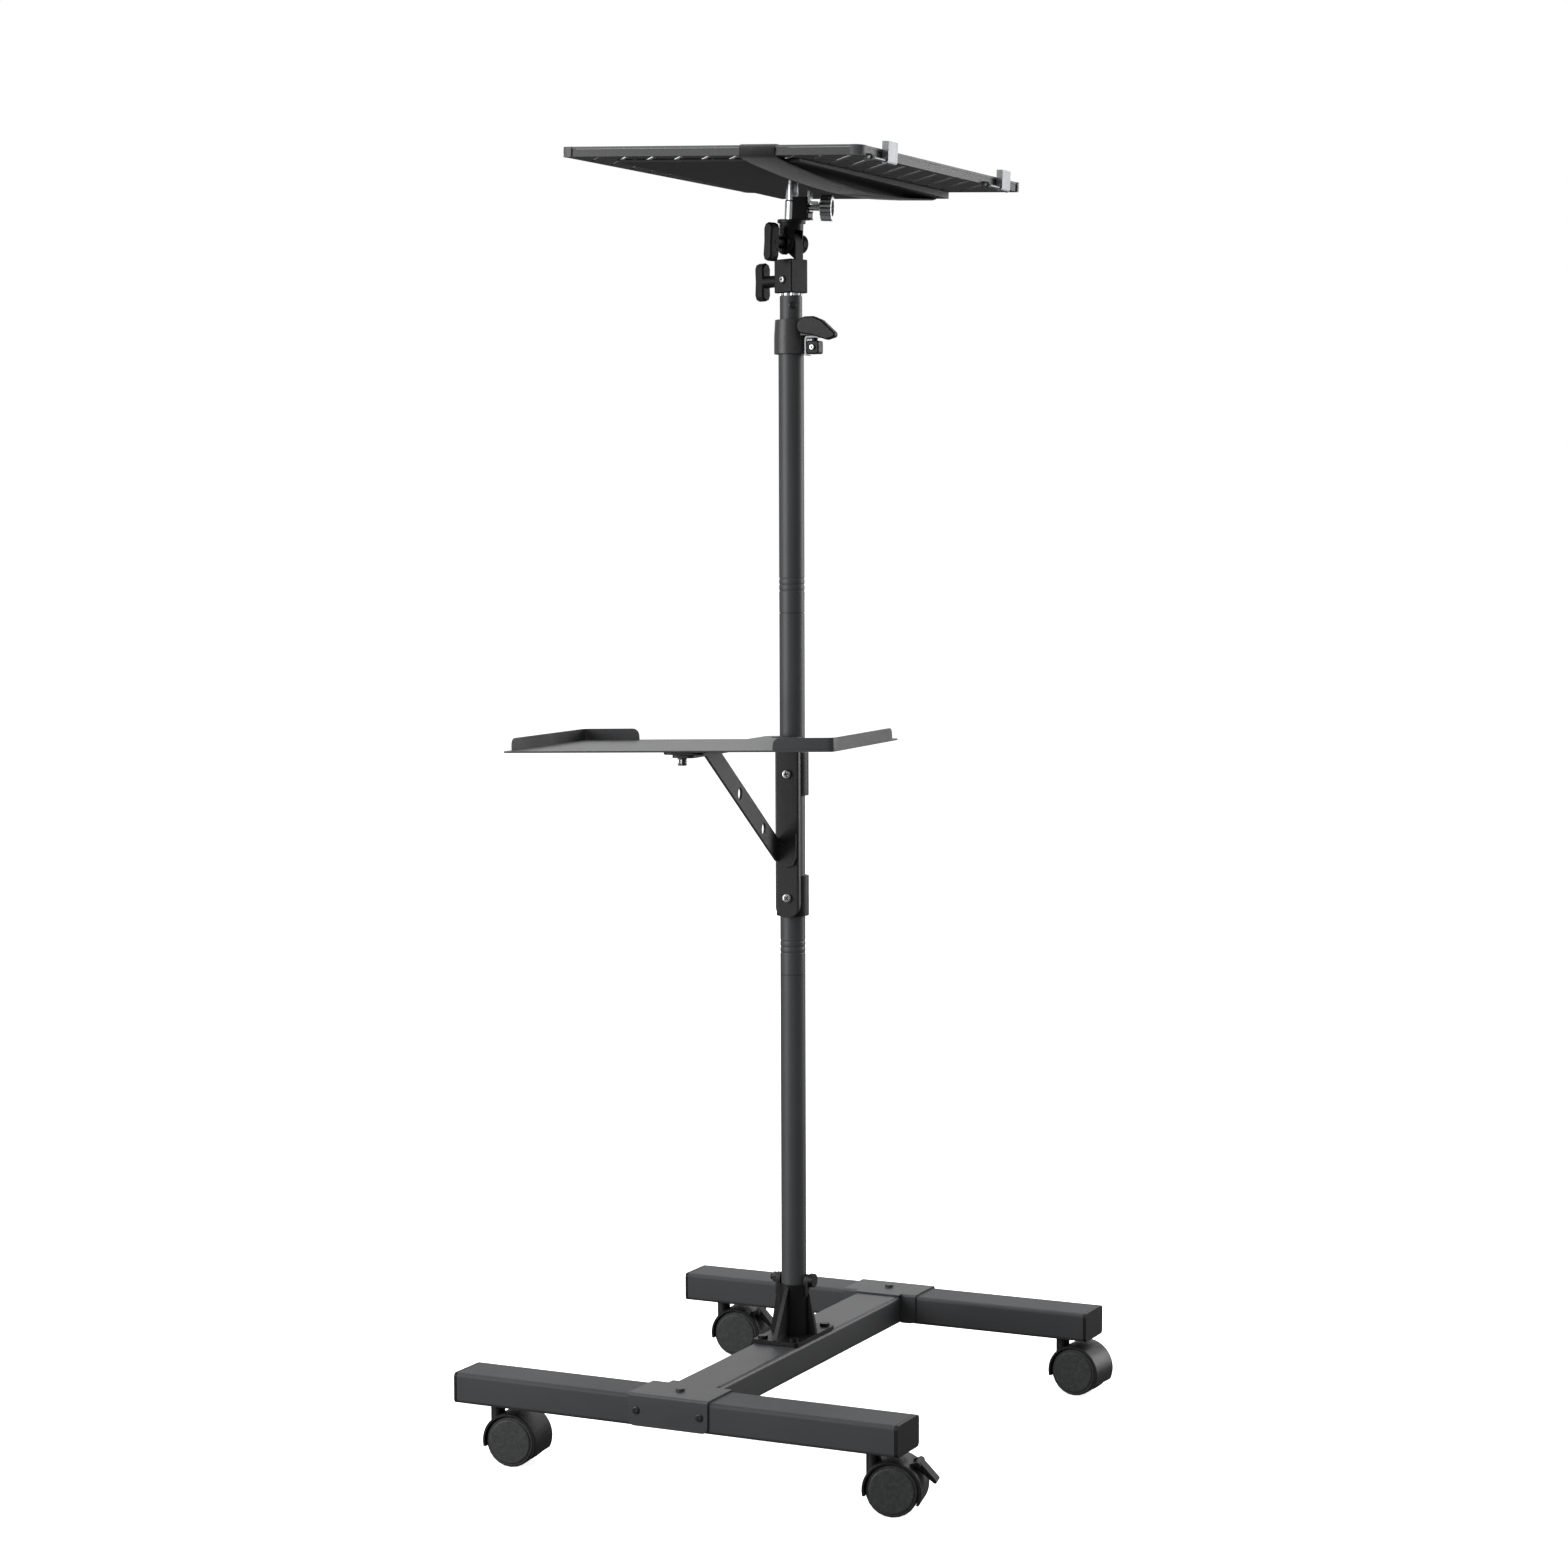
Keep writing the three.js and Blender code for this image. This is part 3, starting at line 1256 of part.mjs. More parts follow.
// Rubber edging: a strip on the rim with a guard round each corner
function trayEdging() {
  const grow = 2 * (guardWall + seatGap);
  const outer = roundedRectangle(trayWidth + grow, trayDepth + grow, trayCorner + grow / 2);
  const rimFace = roundedRectangle(trayWidth + 2 * seatGap, trayDepth + 2 * seatGap, trayCorner + seatGap);
  const inside = rimWall + edgingOverhang;
  const opening = roundedRectangle(trayWidth - 2 * inside, trayDepth - 2 * inside, trayCorner - inside);
  const stripOuter = roundedRectangle(
    trayWidth + 2 * edgingOverhang, trayDepth + 2 * edgingOverhang, trayCorner + edgingOverhang,
  );
  const stripBottom = rimHeight + seatGap;
  const top = stripBottom + edgingHeight;
  const strip = prism(hollow(stripOuter, opening), edgingHeight, alongZ, [0, 0, stripBottom + edgingHeight / 2]);
  const guard = join([
    prism(hollow(outer, rimFace), top, alongZ, [0, 0, top / 2]),
    prism(hollow(outer, opening), edgingHeight, alongZ, [0, 0, stripBottom + edgingHeight / 2]),
  ]);
  const corners = sides.flatMap(([, x]) => sides.map(([, y]) => {
    const inner = [x * (trayWidth / 2 - guardLength), y * (trayDepth / 2 - guardLength)];
    const outerCorner = [x * (trayWidth / 2 + guardLength), y * (trayDepth / 2 + guardLength)];
    const low = inner.map((value, i) => Math.min(value, outerCorner[i]));
    const high = inner.map((value, i) => Math.max(value, outerCorner[i]));
    return guard.intersect(block([...low, -overrun], [...high, top + overrun]));
  }));
  return join([strip, ...corners]);
}
piece('tray_edging', trayEdging(), rubber, tray);

// Shallow folded pan under the tray's middle, deeper towards the back
function trayPan() {
  const top = -seatGap;
  const section = (inset, lift) => polygon([
    [panFront + inset, top + lift],
    [panFront + inset, top - panFrontDepth + inset],
    [panBack - inset, top - panBackDepth + inset],
    [panBack - inset, top + lift],
  ]);
  const middle = (panLeft + panRight) / 2;
  const width = panRight - panLeft;
  const bowl = prism(section(0, 0), width, alongX, [middle, 0, 0]);
  const space = prism(section(panSheet, overrun), width - 2 * panSheet, alongX, [middle, 0, 0]);
  const studBore = rod(boreFor(postStudRadius, seatGap), -trayHeight, 0, alongZ, [postSpot.x, postSpot.y, 0]);
  return cut(bowl, [space, studBore]);
}
piece('tray_pan', trayPan(), powderCoat, tray);

const trayNut = piece('tray_nut', cut(
  rod(trayNutRadius, 0, trayNutHeight, alongZ, [0, 0, 0], 6),
  [rod(boreFor(postStudRadius, seatGap), -overrun, trayNutHeight + overrun)],
), chrome, tray);
trayNut.position.set(postSpot.x, postSpot.y, traySheet + seatGap);

// Edge stops: a plate outside the rim that swings down on its own long pin
function edgeStop(end) {
  const middle = end * stopPlace;
  const plate = new THREE.Shape();
  plate.absarc(stopX, stopZ, stopThickness / 2, Math.PI, 2 * Math.PI);
  plate.lineTo(stopX + stopThickness / 2, stopZ + stopHeight);
  plate.lineTo(stopX - stopThickness / 2, stopZ + stopHeight);
  const pinEnd = middle - stopWidth / 2 - stopPinReach - stopEyeWidth;
  return join([
    prism(plate, stopWidth, alongY, [0, middle, 0]),
    rod(stopPinRadius, pinEnd, middle, alongY, [stopX, 0, stopZ]),
  ]);
}
piece('front_edge_stop', edgeStop(-1), chrome, tray);
piece('rear_edge_stop', edgeStop(1), chrome, tray);

// The strap: one loop of webbing over the rims that hangs slack under the tray
function strap() {
  const reach = trayDepth / 2 + edgingOverhang + seatGap;
  const top = rimHeight + seatGap + edgingHeight + seatGap;
  const bottom = -seatGap;
  const panFold = -panBackDepth - 2 * seatGap;
  const loop = (grow) => polygon([
    [-reach - grow, bottom - grow / 2],
    [-reach - grow, top + grow],
    [reach + grow, top + grow],
    [reach + grow, bottom - grow / 2],
    [panBack + overrun, panFold - grow],
    [-trayShiftY, panFold - strapSag + panBackDepth - grow],
    [panFront, bottom - panFrontDepth - overrun - grow],
  ]);
  const place = [strapPlace, 0, 0];
  return prism(loop(strapThickness), strapWidth, alongX, place)
    .subtract(prism(loop(0), strapWidth + overrun, alongX, place));
}
piece('strap', strap(), webbing, tray);

// Shelf bracket, turned a little about the column
const shelf = new THREE.Group();
shelf.rotation.z = degrees(shelfTurn);
cart.add(shelf);
const webFront = -ringRadius - seatGap - channelSheet;
const upperScrewHeight = upperRingBottom + upperScrewRise;
const lowerScrewHeight = lowerRingBottom + lowerScrewRise;

function postChannel() {
  const half = channelSheet / 2;
  const section = bentSheet([
    [half - channelWidth / 2, webFront + channelDepth],
    [half - channelWidth / 2, webFront + half],
    [channelWidth / 2 - half, webFront + half],
    [channelWidth / 2 - half, webFront + channelDepth],
  ], channelSheet, half);
  const body = prism(section, channelTop - channelBottom, alongZ, [0, 0, (channelTop + channelBottom) / 2]);
  const round = channelWidth / 2;
  const end = new THREE.Shape();
  end.moveTo(round, channelTop + overrun);
  end.lineTo(-round, channelTop + overrun);
  end.absarc(0, channelBottom + round, round, Math.PI, 2 * Math.PI);
  const face = new THREE.Shape(end.getPoints(channelEndSegments));
  const ringPass = boreFor(ringRadius, seatGap, tubeSegments);
  const screwHole = boreFor(boltRadius, seatGap);
  return cut(body.intersect(prism(face, 4 * channelWidth, alongY)), [
    rod(ringPass, upperRingBottom - seatGap, upperRingTop + seatGap, alongZ, [0, 0, 0], tubeSegments),
    rod(ringPass, lowerRingBottom - seatGap, lowerRingTop + seatGap, alongZ, [0, 0, 0], tubeSegments),
    ...[upperScrewHeight, lowerScrewHeight].map((z) => (
      rod(screwHole, webFront - overrun, webFront + channelSheet + overrun, alongY, [0, 0, z]))),
  ]);
}
piece('post_channel', postChannel(), powderCoat, shelf);

// Ring clamps: split rings round the tube, each with its screw through the channel
function ringClamp(bottom, top, screwZ) {
  const ring = rod(ringRadius, bottom, top, alongZ, [0, 0, 0], tubeSegments);
  const slit = block([-ringSlit / 2, 0, bottom - overrun], [ringSlit / 2, 2 * ringRadius, top + overrun]);
  const bore = rod(boreFor(tubeRadius, seatGap, tubeSegments), bottom - overrun, top + overrun,
    alongZ, [0, 0, 0], tubeSegments);
  const headFront = webFront - seatGap - ringScrewHeight;
  const place = [0, 0, screwZ];
  return join([
    cut(ring, [slit, bore]),
    rod(boltRadius, headFront, tubeWall - ringRadius + seatGap, alongY, place),
    rod(ringScrewRadius, headFront, webFront - seatGap, alongY, place, 2 * smallSegments),
  ]);
}
piece('upper_ring_clamp', ringClamp(upperRingBottom, upperRingTop, upperScrewHeight), blackPlastic, shelf);
piece('lower_ring_clamp', ringClamp(lowerRingBottom, lowerRingTop, lowerScrewHeight), blackPlastic, shelf);

// Shelf arm: a flat bar on the post channel's top
const armBottom = channelTop + seatGap;
const armTop = armBottom + armSheet;
const studPass = boreFor(shelfStudRadius, seatGap);
const shelfStuds = [[0, nearStudY], [farStudX, farStudY]];
function shelfArm() {
  const near = webFront + channelSheet;
  const outline = roundedRectangle(armWidth, near - armEnd, 2 * shelfCorner);
  const bar = prism(outline, armSheet, alongZ, [0, (near + armEnd) / 2, armBottom + armSheet / 2]);
  const holes = shelfStuds.map(([x, y]) => rod(studPass, armBottom - overrun, armTop + overrun, alongZ, [x, y, 0]));
  return join([
    cut(bar, holes),
    rod(shelfNutRadius, armBottom - shelfNutHeight, armBottom + armSheet / 2, alongZ, [0, armScrewY, 0]),
    rod(panHeadRadius, armTop - armSheet / 2, armTop + flatHeadHeight, alongZ, [0, armScrewY, 0]),
  ]);
}
piece('shelf_arm', shelfArm(), powderCoat, shelf);

// Brace: a flat bar on edge, with a tab folded under the arm and one folded onto the channel
function shelfBrace() {
  const farZ = armBottom - seatGap - braceSheet / 2;
  const length = Math.hypot(braceNearY - braceFarY, farZ - braceNearZ);
  const slope = Math.atan2(braceNearZ - farZ, braceNearY - braceFarY);
  const barOutline = new THREE.Shape(roundedRectangle(length + braceWidth, braceWidth, braceSheet)
    .getPoints(cornerSegments)
    .map((at) => at.rotateAround(point(0, 0), slope)
      .add(point((braceFarY + braceNearY) / 2, (farZ + braceNearZ) / 2))));
  const sideX = braceSide + braceSheet / 2;
  const bar = prism(barOutline, braceSheet, alongX, [sideX, 0, 0]);
  const tabFront = webFront - seatGap - braceSheet;
  const room = block(
    [-armWidth, armEnd, braceNearZ - braceWidth],
    [armWidth, tabFront + braceSheet, armBottom - seatGap],
  );
  const holes = braceHoleShares.map((share) => rod(braceHoleRadius, -armWidth, armWidth, alongX, [
    0, braceFarY + share * (braceNearY - braceFarY), farZ + share * (braceNearZ - farZ),
  ], 2 * smallSegments));
  const tabRight = braceSide + braceTabWidth;
  const lowTab = new THREE.Shape();
  lowTab.moveTo(braceSide, braceNearZ - braceTabDrop / 2);
  lowTab.quadraticCurveTo(braceSide, braceNearZ - braceTabDrop, braceSide + braceTabWidth / 2, braceNearZ - braceTabDrop);
  lowTab.quadraticCurveTo(tabRight, braceNearZ - braceTabDrop, tabRight, braceNearZ - braceTabDrop / 2);
  lowTab.lineTo(tabRight, braceNearZ + braceTabRise);
  lowTab.lineTo(braceSide + braceTabWidth / 2, braceNearZ + braceTabDrop / 8);
  lowTab.lineTo(braceSide, braceNearZ + braceTabRise / 2);
  const tabEnd = armEnd + braceSheet;
  const highTab = roundedRectangle(braceTabWidth, braceFarY - tabEnd, 2 * braceSheet);
  const studHole = rod(studPass, farZ - braceWidth, farZ + braceWidth, alongZ, [farStudX, farStudY, 0]);
  return join([
    cut(bar, holes).intersect(room),
    prism(lowTab, braceSheet, alongY, [0, tabFront + braceSheet / 2, 0]),
    prism(highTab, braceSheet, alongZ, [braceSide + braceTabWidth / 2, (braceFarY + tabEnd) / 2, farZ]),
  ]).subtract(studHole);
}
piece('shelf_brace', shelfBrace(), powderCoat, shelf);

// Shelf tray: a flat sheet with lips turned up at two corners, a rivet into the arm and a stud
// with a round nut under the brace. It leans a little and bears on the arm's left edge.
const leaning = new THREE.Group();
const leanLift = (armWidth / 2 + shelfSide) * Math.tan(degrees(shelfLean));
leaning.position.set(shelfSide, shelfMiddle, armTop + seatGap + leanLift);
leaning.rotation.y = -degrees(shelfLean);
leaning.updateMatrix();
shelf.add(leaning);

function shelfTray() {
  const sheet = prism(roundedRectangle(shelfWidth, shelfDepth, shelfCorner), shelfSheet,
    alongZ, [0, 0, shelfSheet / 2]);
  const corner = [1, -1].map((sense) => {
    const x = sense * (shelfWidth / 2 - shelfSheet / 2);
    const y = sense * (lipInsetFront + shelfSheet / 2 - shelfDepth / 2);
    const section = bentSheet([
      [x - sense * frontLip, y], [x, y], [x, y + sense * sideLip],
    ], shelfSheet, lipHeight / 2);
    return prism(section, lipHeight + shelfSheet, alongZ, [0, 0, (lipHeight + shelfSheet) / 2]);
  });
  const studTop = armTop + seatGap + shelfSheet / 2;
  const nutTop = armBottom - 2 * seatGap - braceSheet;
  const studs = [
    rod(shelfStudRadius, armBottom, studTop, alongZ, [0, nearStudY, 0]),
    rod(shelfStudRadius, nutTop - shelfNutHeight, studTop, alongZ, [farStudX, farStudY, 0]),
    rod(shelfNutRadius, nutTop - shelfNutHeight, nutTop, alongZ, [farStudX, farStudY, 0]),
  ];
  const intoTray = leaning.matrix.clone().invert().toArray();
  return join([sheet, ...corner, join(studs).transform(intoTray)]);
}
piece('shelf_tray', shelfTray(), powderCoat, leaning);

// The origin lies on the floor under the middle of the cart's outer box
cart.updateMatrixWorld(true);
const outerBox = new THREE.Box3().setFromObject(cart, true);
const middle = outerBox.getCenter(new THREE.Vector3());
cart.position.set(-middle.x, -middle.y, -outerBox.min.z);

export default cart;
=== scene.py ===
# %% [markdown]
# An audio visual cart: two cross bars and a spine on casters, a steel column, a small shelf,
# and a slotted tray on a tilting head. This file dresses its engineering model for a picture.
# The model is loaded first, and nothing in it is moved. Each rigid piece gets a finished copy
# with softened edges and a real material. The strap, the screws and two nuts are made new.

# %% Load the engineering model
import json
import math
import bpy
from mathutils import Matrix, Vector

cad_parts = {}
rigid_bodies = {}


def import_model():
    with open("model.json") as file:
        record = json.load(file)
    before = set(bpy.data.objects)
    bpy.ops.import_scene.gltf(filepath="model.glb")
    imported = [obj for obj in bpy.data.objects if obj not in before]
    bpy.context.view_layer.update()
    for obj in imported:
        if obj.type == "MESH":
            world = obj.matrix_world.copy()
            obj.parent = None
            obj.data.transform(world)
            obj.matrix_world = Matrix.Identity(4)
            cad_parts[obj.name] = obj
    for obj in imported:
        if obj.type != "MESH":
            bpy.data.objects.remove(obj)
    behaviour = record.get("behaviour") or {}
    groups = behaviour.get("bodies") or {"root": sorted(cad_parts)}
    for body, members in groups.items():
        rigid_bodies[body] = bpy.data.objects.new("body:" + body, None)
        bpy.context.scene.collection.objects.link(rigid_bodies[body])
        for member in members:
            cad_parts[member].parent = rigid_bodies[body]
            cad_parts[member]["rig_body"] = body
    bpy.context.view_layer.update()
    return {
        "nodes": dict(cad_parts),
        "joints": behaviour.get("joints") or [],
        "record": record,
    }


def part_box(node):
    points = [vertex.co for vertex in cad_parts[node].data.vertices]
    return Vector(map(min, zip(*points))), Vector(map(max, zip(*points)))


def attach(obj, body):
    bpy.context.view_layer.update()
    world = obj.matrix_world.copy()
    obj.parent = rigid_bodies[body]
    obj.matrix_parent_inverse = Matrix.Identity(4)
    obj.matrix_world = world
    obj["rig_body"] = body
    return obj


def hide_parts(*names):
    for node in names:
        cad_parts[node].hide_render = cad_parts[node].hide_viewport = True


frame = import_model()
MM = 0.001
joints = {joint["name"]: joint for joint in frame["joints"]}
mounts = {mount["name"]: mount for mount in frame["record"]["mounts"]}
node_slot = {part["node"]: part["material_slot"] for part in frame["record"]["subparts"]}

# %% [markdown]
# The camera comes before any piece, so that each piece can be judged in the photograph's frame.
# It stands 3.3 m away, turned 26 degrees from the front towards the right, and looks slightly
# down. The parallel edges of the base gave its place, its aim and its focal length together.
# The place is measured from the foot of the column, and the small angles are in radians.

# %% Camera
azimuth = math.radians(25.5504)
pan, pitch, roll = 0.0026, -0.0688, -0.0032
stand = Vector((1.4129, -2.9554, 0.8758))
focal_pixels, picture_pixels, sensor_mm = 3275.8, 1568, 36


def new_object(name, data):
    made = bpy.data.objects.new(name, data)
    bpy.context.scene.collection.objects.link(made)
    return made


column_foot = Vector(joints["head_swivel"]["pos_m"]).xy.to_3d()
heading = azimuth + pan
forward = Vector((-math.sin(heading) * math.cos(pitch),
                  math.cos(heading) * math.cos(pitch),
                  math.sin(pitch)))
level = Vector((math.cos(heading), math.sin(heading), 0))
upright = level.cross(forward)
right = level * math.cos(roll) + upright * math.sin(roll)
up = upright * math.cos(roll) - level * math.sin(roll)

camera_data = bpy.data.cameras.new("camera")
camera_data.sensor_width = sensor_mm
camera_data.lens = sensor_mm * focal_pixels / picture_pixels
camera_data.clip_start = 0.1
camera_data.clip_end = 200
camera = new_object("camera", camera_data)
turned = Matrix((right, up, -forward)).transposed().to_4x4()
camera.matrix_world = Matrix.Translation(column_foot + stand) @ turned
bpy.context.scene.camera = camera
print("camera at", [round(value, 3) for value in camera.location])

# %% [markdown]
# Shared helpers. An operator acts on all that is selected, so everything is deselected first.
# A modifier is applied at once, so that a piece's mesh is always the finished shape. A finished
# piece rides on the body that it is given, and takes the material that it is given.

# %% Helpers for objects
def choose(piece):
    bpy.ops.object.select_all(action="DESELECT")
    piece.select_set(True)
    bpy.context.view_layer.objects.active = piece


def modify(piece, kind, **settings):
    choose(piece)
    modifier = piece.modifiers.new(kind.lower(), kind)
    for name, value in settings.items():
        setattr(modifier, name, value)
    bpy.ops.object.modifier_apply(modifier=modifier.name)


def place(piece, matrix=None):
    """Puts a new piece where it belongs, with its place in its mesh."""
    if matrix is not None:
        piece.matrix_world = matrix
    choose(piece)
    bpy.ops.object.transform_apply(location=True, rotation=True, scale=True)


def finish_piece(piece, material, body):
    piece.data.materials.clear()
    piece.data.materials.append(material)
    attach(piece, body)


print("helpers for objects are ready")

# %% [markdown]
# Materials are built from nodes. Colours are written as sRGB hex values, the way that a paint
# chart gives them, and one function turns them to the linear values that a shader works in.
# One more function adds a node with its settings, a ramp's colour stops, and its inputs, which
# are plain values or links from other nodes. An input without a name of its own goes by number.
# The Scale of a pattern says how often it repeats in a metre, so it is worked out from a count
# in millimetres: 13 bumps in 20 mm are 650 in a metre, one every 1.5 mm.

# %% Helpers for materials
def linear(hex_colour):
    channels = [int(hex_colour[i:i + 2], 16) / 255 for i in (1, 3, 5)]
    return [c / 12.92 if c <= 0.04045 else ((c + 0.055) / 1.055) ** 2.4 for c in channels] + [1]


def per_metre(count, millimetres):
    return count / (millimetres * MM)


def start(owner):
    """Gives a new material or world an empty tree of nodes."""
    owner.use_nodes = True
    owner.node_tree.nodes.clear()
    return owner.node_tree


def add(tree, kind, settings=None, stops=(), **inputs):
    node = tree.nodes.new("ShaderNode" + kind)
    for name, value in (settings or {}).items():
        setattr(node, name, value)
    if stops:
        for element, (position, colour) in zip(node.color_ramp.elements, stops):
            element.position = position
            element.color = linear(colour)
    for name, value in inputs.items():
        socket = node.inputs[int(name[1:]) if name[0] == "_" else name.replace("_", " ")]
        if isinstance(value, bpy.types.NodeSocket):
            tree.links.new(value, socket)
        else:
            socket.default_value = value
    return node


print("helpers for materials are ready")

# %% [markdown]
# Powder coat on steel. The dry powder is sprayed on and baked, and it flows into a satin skin
# with a faint orange peel about 1.5 mm across and a grit of about half a millimetre. Both are
# bumps here, so that a highlight breaks up, and the grit also varies the gloss. A slow change of
# colour over a hand's width keeps a large flat face from looking drawn. The cross bars are
# rougher than the rest, so that they scatter the light in a broad grey band. The tubes are
# smoother and a shade lighter, and the brackets and the pan are nearly black.

# %% Powder coat
def powder_coat(name, dark, light, roughness, peel, grit, swing=0.06):
    material = bpy.data.materials.new(name)
    tree = start(material)
    where = add(tree, "TexCoord").outputs["Object"]
    cloud = add(tree, "TexNoise", Vector=where, Scale=per_metre(9, 1000), Detail=3)
    shade = add(tree, "ValToRGB", stops=((0.35, dark), (0.65, light)), Fac=cloud.outputs["Fac"])
    orange_peel = add(tree, "TexNoise", Vector=where, Scale=per_metre(13, 20), Detail=1)
    fine_grit = add(tree, "TexNoise", Vector=where, Scale=per_metre(21, 10), Detail=2)
    rough = add(tree, "MapRange", Value=fine_grit.outputs["Fac"],
                To_Min=roughness - swing, To_Max=roughness + swing)
    waves = add(tree, "Bump", Height=orange_peel.outputs["Fac"], Strength=peel,
                Distance=0.3 * MM)
    grains = add(tree, "Bump", Height=fine_grit.outputs["Fac"], Strength=grit,
                 Distance=0.1 * MM, Normal=waves.outputs["Normal"])
    coat = add(tree, "BsdfPrincipled", Metallic=0.0, IOR=1.5, Base_Color=shade.outputs["Color"],
               Roughness=rough.outputs["Result"], Normal=grains.outputs["Normal"])
    add(tree, "OutputMaterial", Surface=coat.outputs["BSDF"])
    return material


satin_steel = powder_coat("powder_coated_steel", "#37383a", "#3d3e40", 0.44, 0.35, 0.5)
tube_steel = powder_coat("powder_coated_steel_tube", "#48494b", "#4d4e50", 0.46, 0.2, 0.4)
bar_steel = powder_coat("powder_coated_steel_bar", "#37383a", "#3d3e40", 0.6, 0.35, 0.5)
bracket_steel = powder_coat("powder_coated_steel_bracket", "#1c1c1e", "#222224", 0.42, 0.3, 0.5)
pan_steel = powder_coat("powder_coated_steel_pan", "#121213", "#171718", 0.55, 0.3, 0.5)
print("powder coats made")

# %% [markdown]
# Moulded nylon. The knobs, the clamps and the caster hoods come out of spark-eroded moulds,
# which leave an even grain. It is drawn 0.6 to 0.7 mm across, about twice the real size, so
# that it shows. A mottle of about 4 mm varies the colour and the gloss, as handling does. The
# collar under the mast is a smoother grey nylon. The wheels' round faces have a coarser grain of
# 1.3 mm, and the photograph shows it as light flecks.

# %% Moulded plastics
def moulded(name, dark, light, roughness, grain_mm, depth, ior=1.48, swing=0.08):
    material = bpy.data.materials.new(name)
    tree = start(material)
    where = add(tree, "TexCoord").outputs["Object"]
    grain = add(tree, "TexVoronoi", {"feature": "SMOOTH_F1"}, Vector=where,
                Scale=per_metre(1, grain_mm), Smoothness=0.6)
    mottle = add(tree, "TexNoise", Vector=where, Scale=per_metre(26, 100), Detail=4,
                 Roughness=0.6)
    shade = add(tree, "ValToRGB", stops=((0.4, dark), (0.7, light)), Fac=mottle.outputs["Fac"])
    rough = add(tree, "MapRange", Value=mottle.outputs["Fac"],
                To_Min=roughness + swing, To_Max=roughness - swing)
    bump = add(tree, "Bump", Height=grain.outputs["Distance"], Strength=depth,
               Distance=0.3 * MM)
    nylon = add(tree, "BsdfPrincipled", Metallic=0.0, IOR=ior, Base_Color=shade.outputs["Color"],
                Roughness=rough.outputs["Result"], Normal=bump.outputs["Normal"])
    add(tree, "OutputMaterial", Surface=nylon.outputs["BSDF"])
    return material


black_nylon = moulded("moulded_black_nylon", "#0b0b0c", "#101011", 0.42, 0.6, 0.25, ior=1.38)
hood_nylon = moulded("moulded_hood_nylon", "#0f0f10", "#151516", 0.4, 0.7, 0.5)
collar_nylon = moulded("moulded_collar_nylon", "#464648", "#4e4e50", 0.36, 0.6, 0.2)
wheel_nylon = moulded("moulded_wheel_nylon", "#343536", "#454647", 0.5, 1.3, 0.9)
print("plastics made")

# %% [markdown]
# Bare and plated metals. The post, its knob and its nuts are nickel-chromium plated: nearly a
# mirror, with faint polishing marks. The screws in the plastic pieces are bright zinc plated,
# which is a softer mirror, and those on the saddles and on the mast are black zinc. The edge
# stops and the clamp plate are brushed stainless steel. Its fine parallel lines come from a
# noise that is stretched twenty times along one direction, so each line is about 1 mm wide and
# 20 mm long. Real brush lines are a tenth as wide, and would not show from here.

# %% Metals
def bright_metal(name, colour, roughness, stretch, lines, polished=0.7, worn=1.4):
    material = bpy.data.materials.new(name)
    tree = start(material)
    where = add(tree, "TexCoord").outputs["Object"]
    mapped = add(tree, "Mapping", Vector=where, Scale=stretch)
    marks = add(tree, "TexNoise", Vector=mapped.outputs["Vector"], Scale=per_metre(9, 10),
                Detail=2)
    rough = add(tree, "MapRange", Value=marks.outputs["Fac"],
                To_Min=roughness * polished, To_Max=roughness * worn)
    bump = add(tree, "Bump", Height=marks.outputs["Fac"], Strength=lines, Distance=0.05 * MM)
    metal = add(tree, "BsdfPrincipled", Metallic=1.0, Base_Color=linear(colour),
                Roughness=rough.outputs["Result"], Normal=bump.outputs["Normal"])
    add(tree, "OutputMaterial", Surface=metal.outputs["BSDF"])
    return material


chrome_plate = bright_metal("chrome_plated_steel", "#d6d8da", 0.14, (1, 1, 0.2), 0.15)
zinc_screw = bright_metal("zinc_plated_screw", "#c8cacc", 0.26, (1, 1, 1), 0.4)
black_screw = bright_metal("black_zinc_screw", "#4a4b4d", 0.3, (1, 1, 1), 0.4)
brushed_steel = bright_metal("brushed_stainless_steel", "#898b8d", 0.42, (1, 1, 0.05), 0.5)
print("metals made")

# %% [markdown]
# Rubber edging along the tray's rim. Extruded rubber is matt and near black, with a pale sheen at a
# low angle. Its colour here is a grey: a painted reflection, which stands in for the bright light
# that the rim gives back. So its colour is grey, its sheen is strong, and a soft grain of about 2.5
# mm varies both the colour and the surface.

# %% Rubber
def extruded_rubber():
    material = bpy.data.materials.new("extruded_rubber")
    tree = start(material)
    where = add(tree, "TexCoord").outputs["Object"]
    rubber_mottle = add(tree, "TexNoise", Vector=where, Scale=per_metre(42, 100), Detail=3)
    # the two greys are a painted reflection: light that the near-black rubber reflects, painted
    # into its colour
    shade = add(tree, "ValToRGB", stops=((0.4, "#58595b"), (0.75, "#646567")),
                Fac=rubber_mottle.outputs["Fac"])
    bump = add(tree, "Bump", Height=rubber_mottle.outputs["Fac"], Strength=0.3, Distance=0.3 * MM)
    rubber = add(tree, "BsdfPrincipled", Roughness=0.5, IOR=1.52, Sheen_Weight=0.9,
                 Sheen_Roughness=0.25, Base_Color=shade.outputs["Color"],
                 Normal=bump.outputs["Normal"])
    add(tree, "OutputMaterial", Surface=rubber.outputs["BSDF"])
    return material


rim_rubber = extruded_rubber()
print("rubber made")

# %% [markdown]
# Nylon webbing. Its warp threads run along the strap in ribs, and the weft passes under and over
# them, so the face shows short raised floats in a brick pattern. The threads are 1.2 mm wide here,
# about twice the real width, so that the weave shows at this distance. The pattern follows the
# strap's own UV map, which is laid out in metres along and across it.

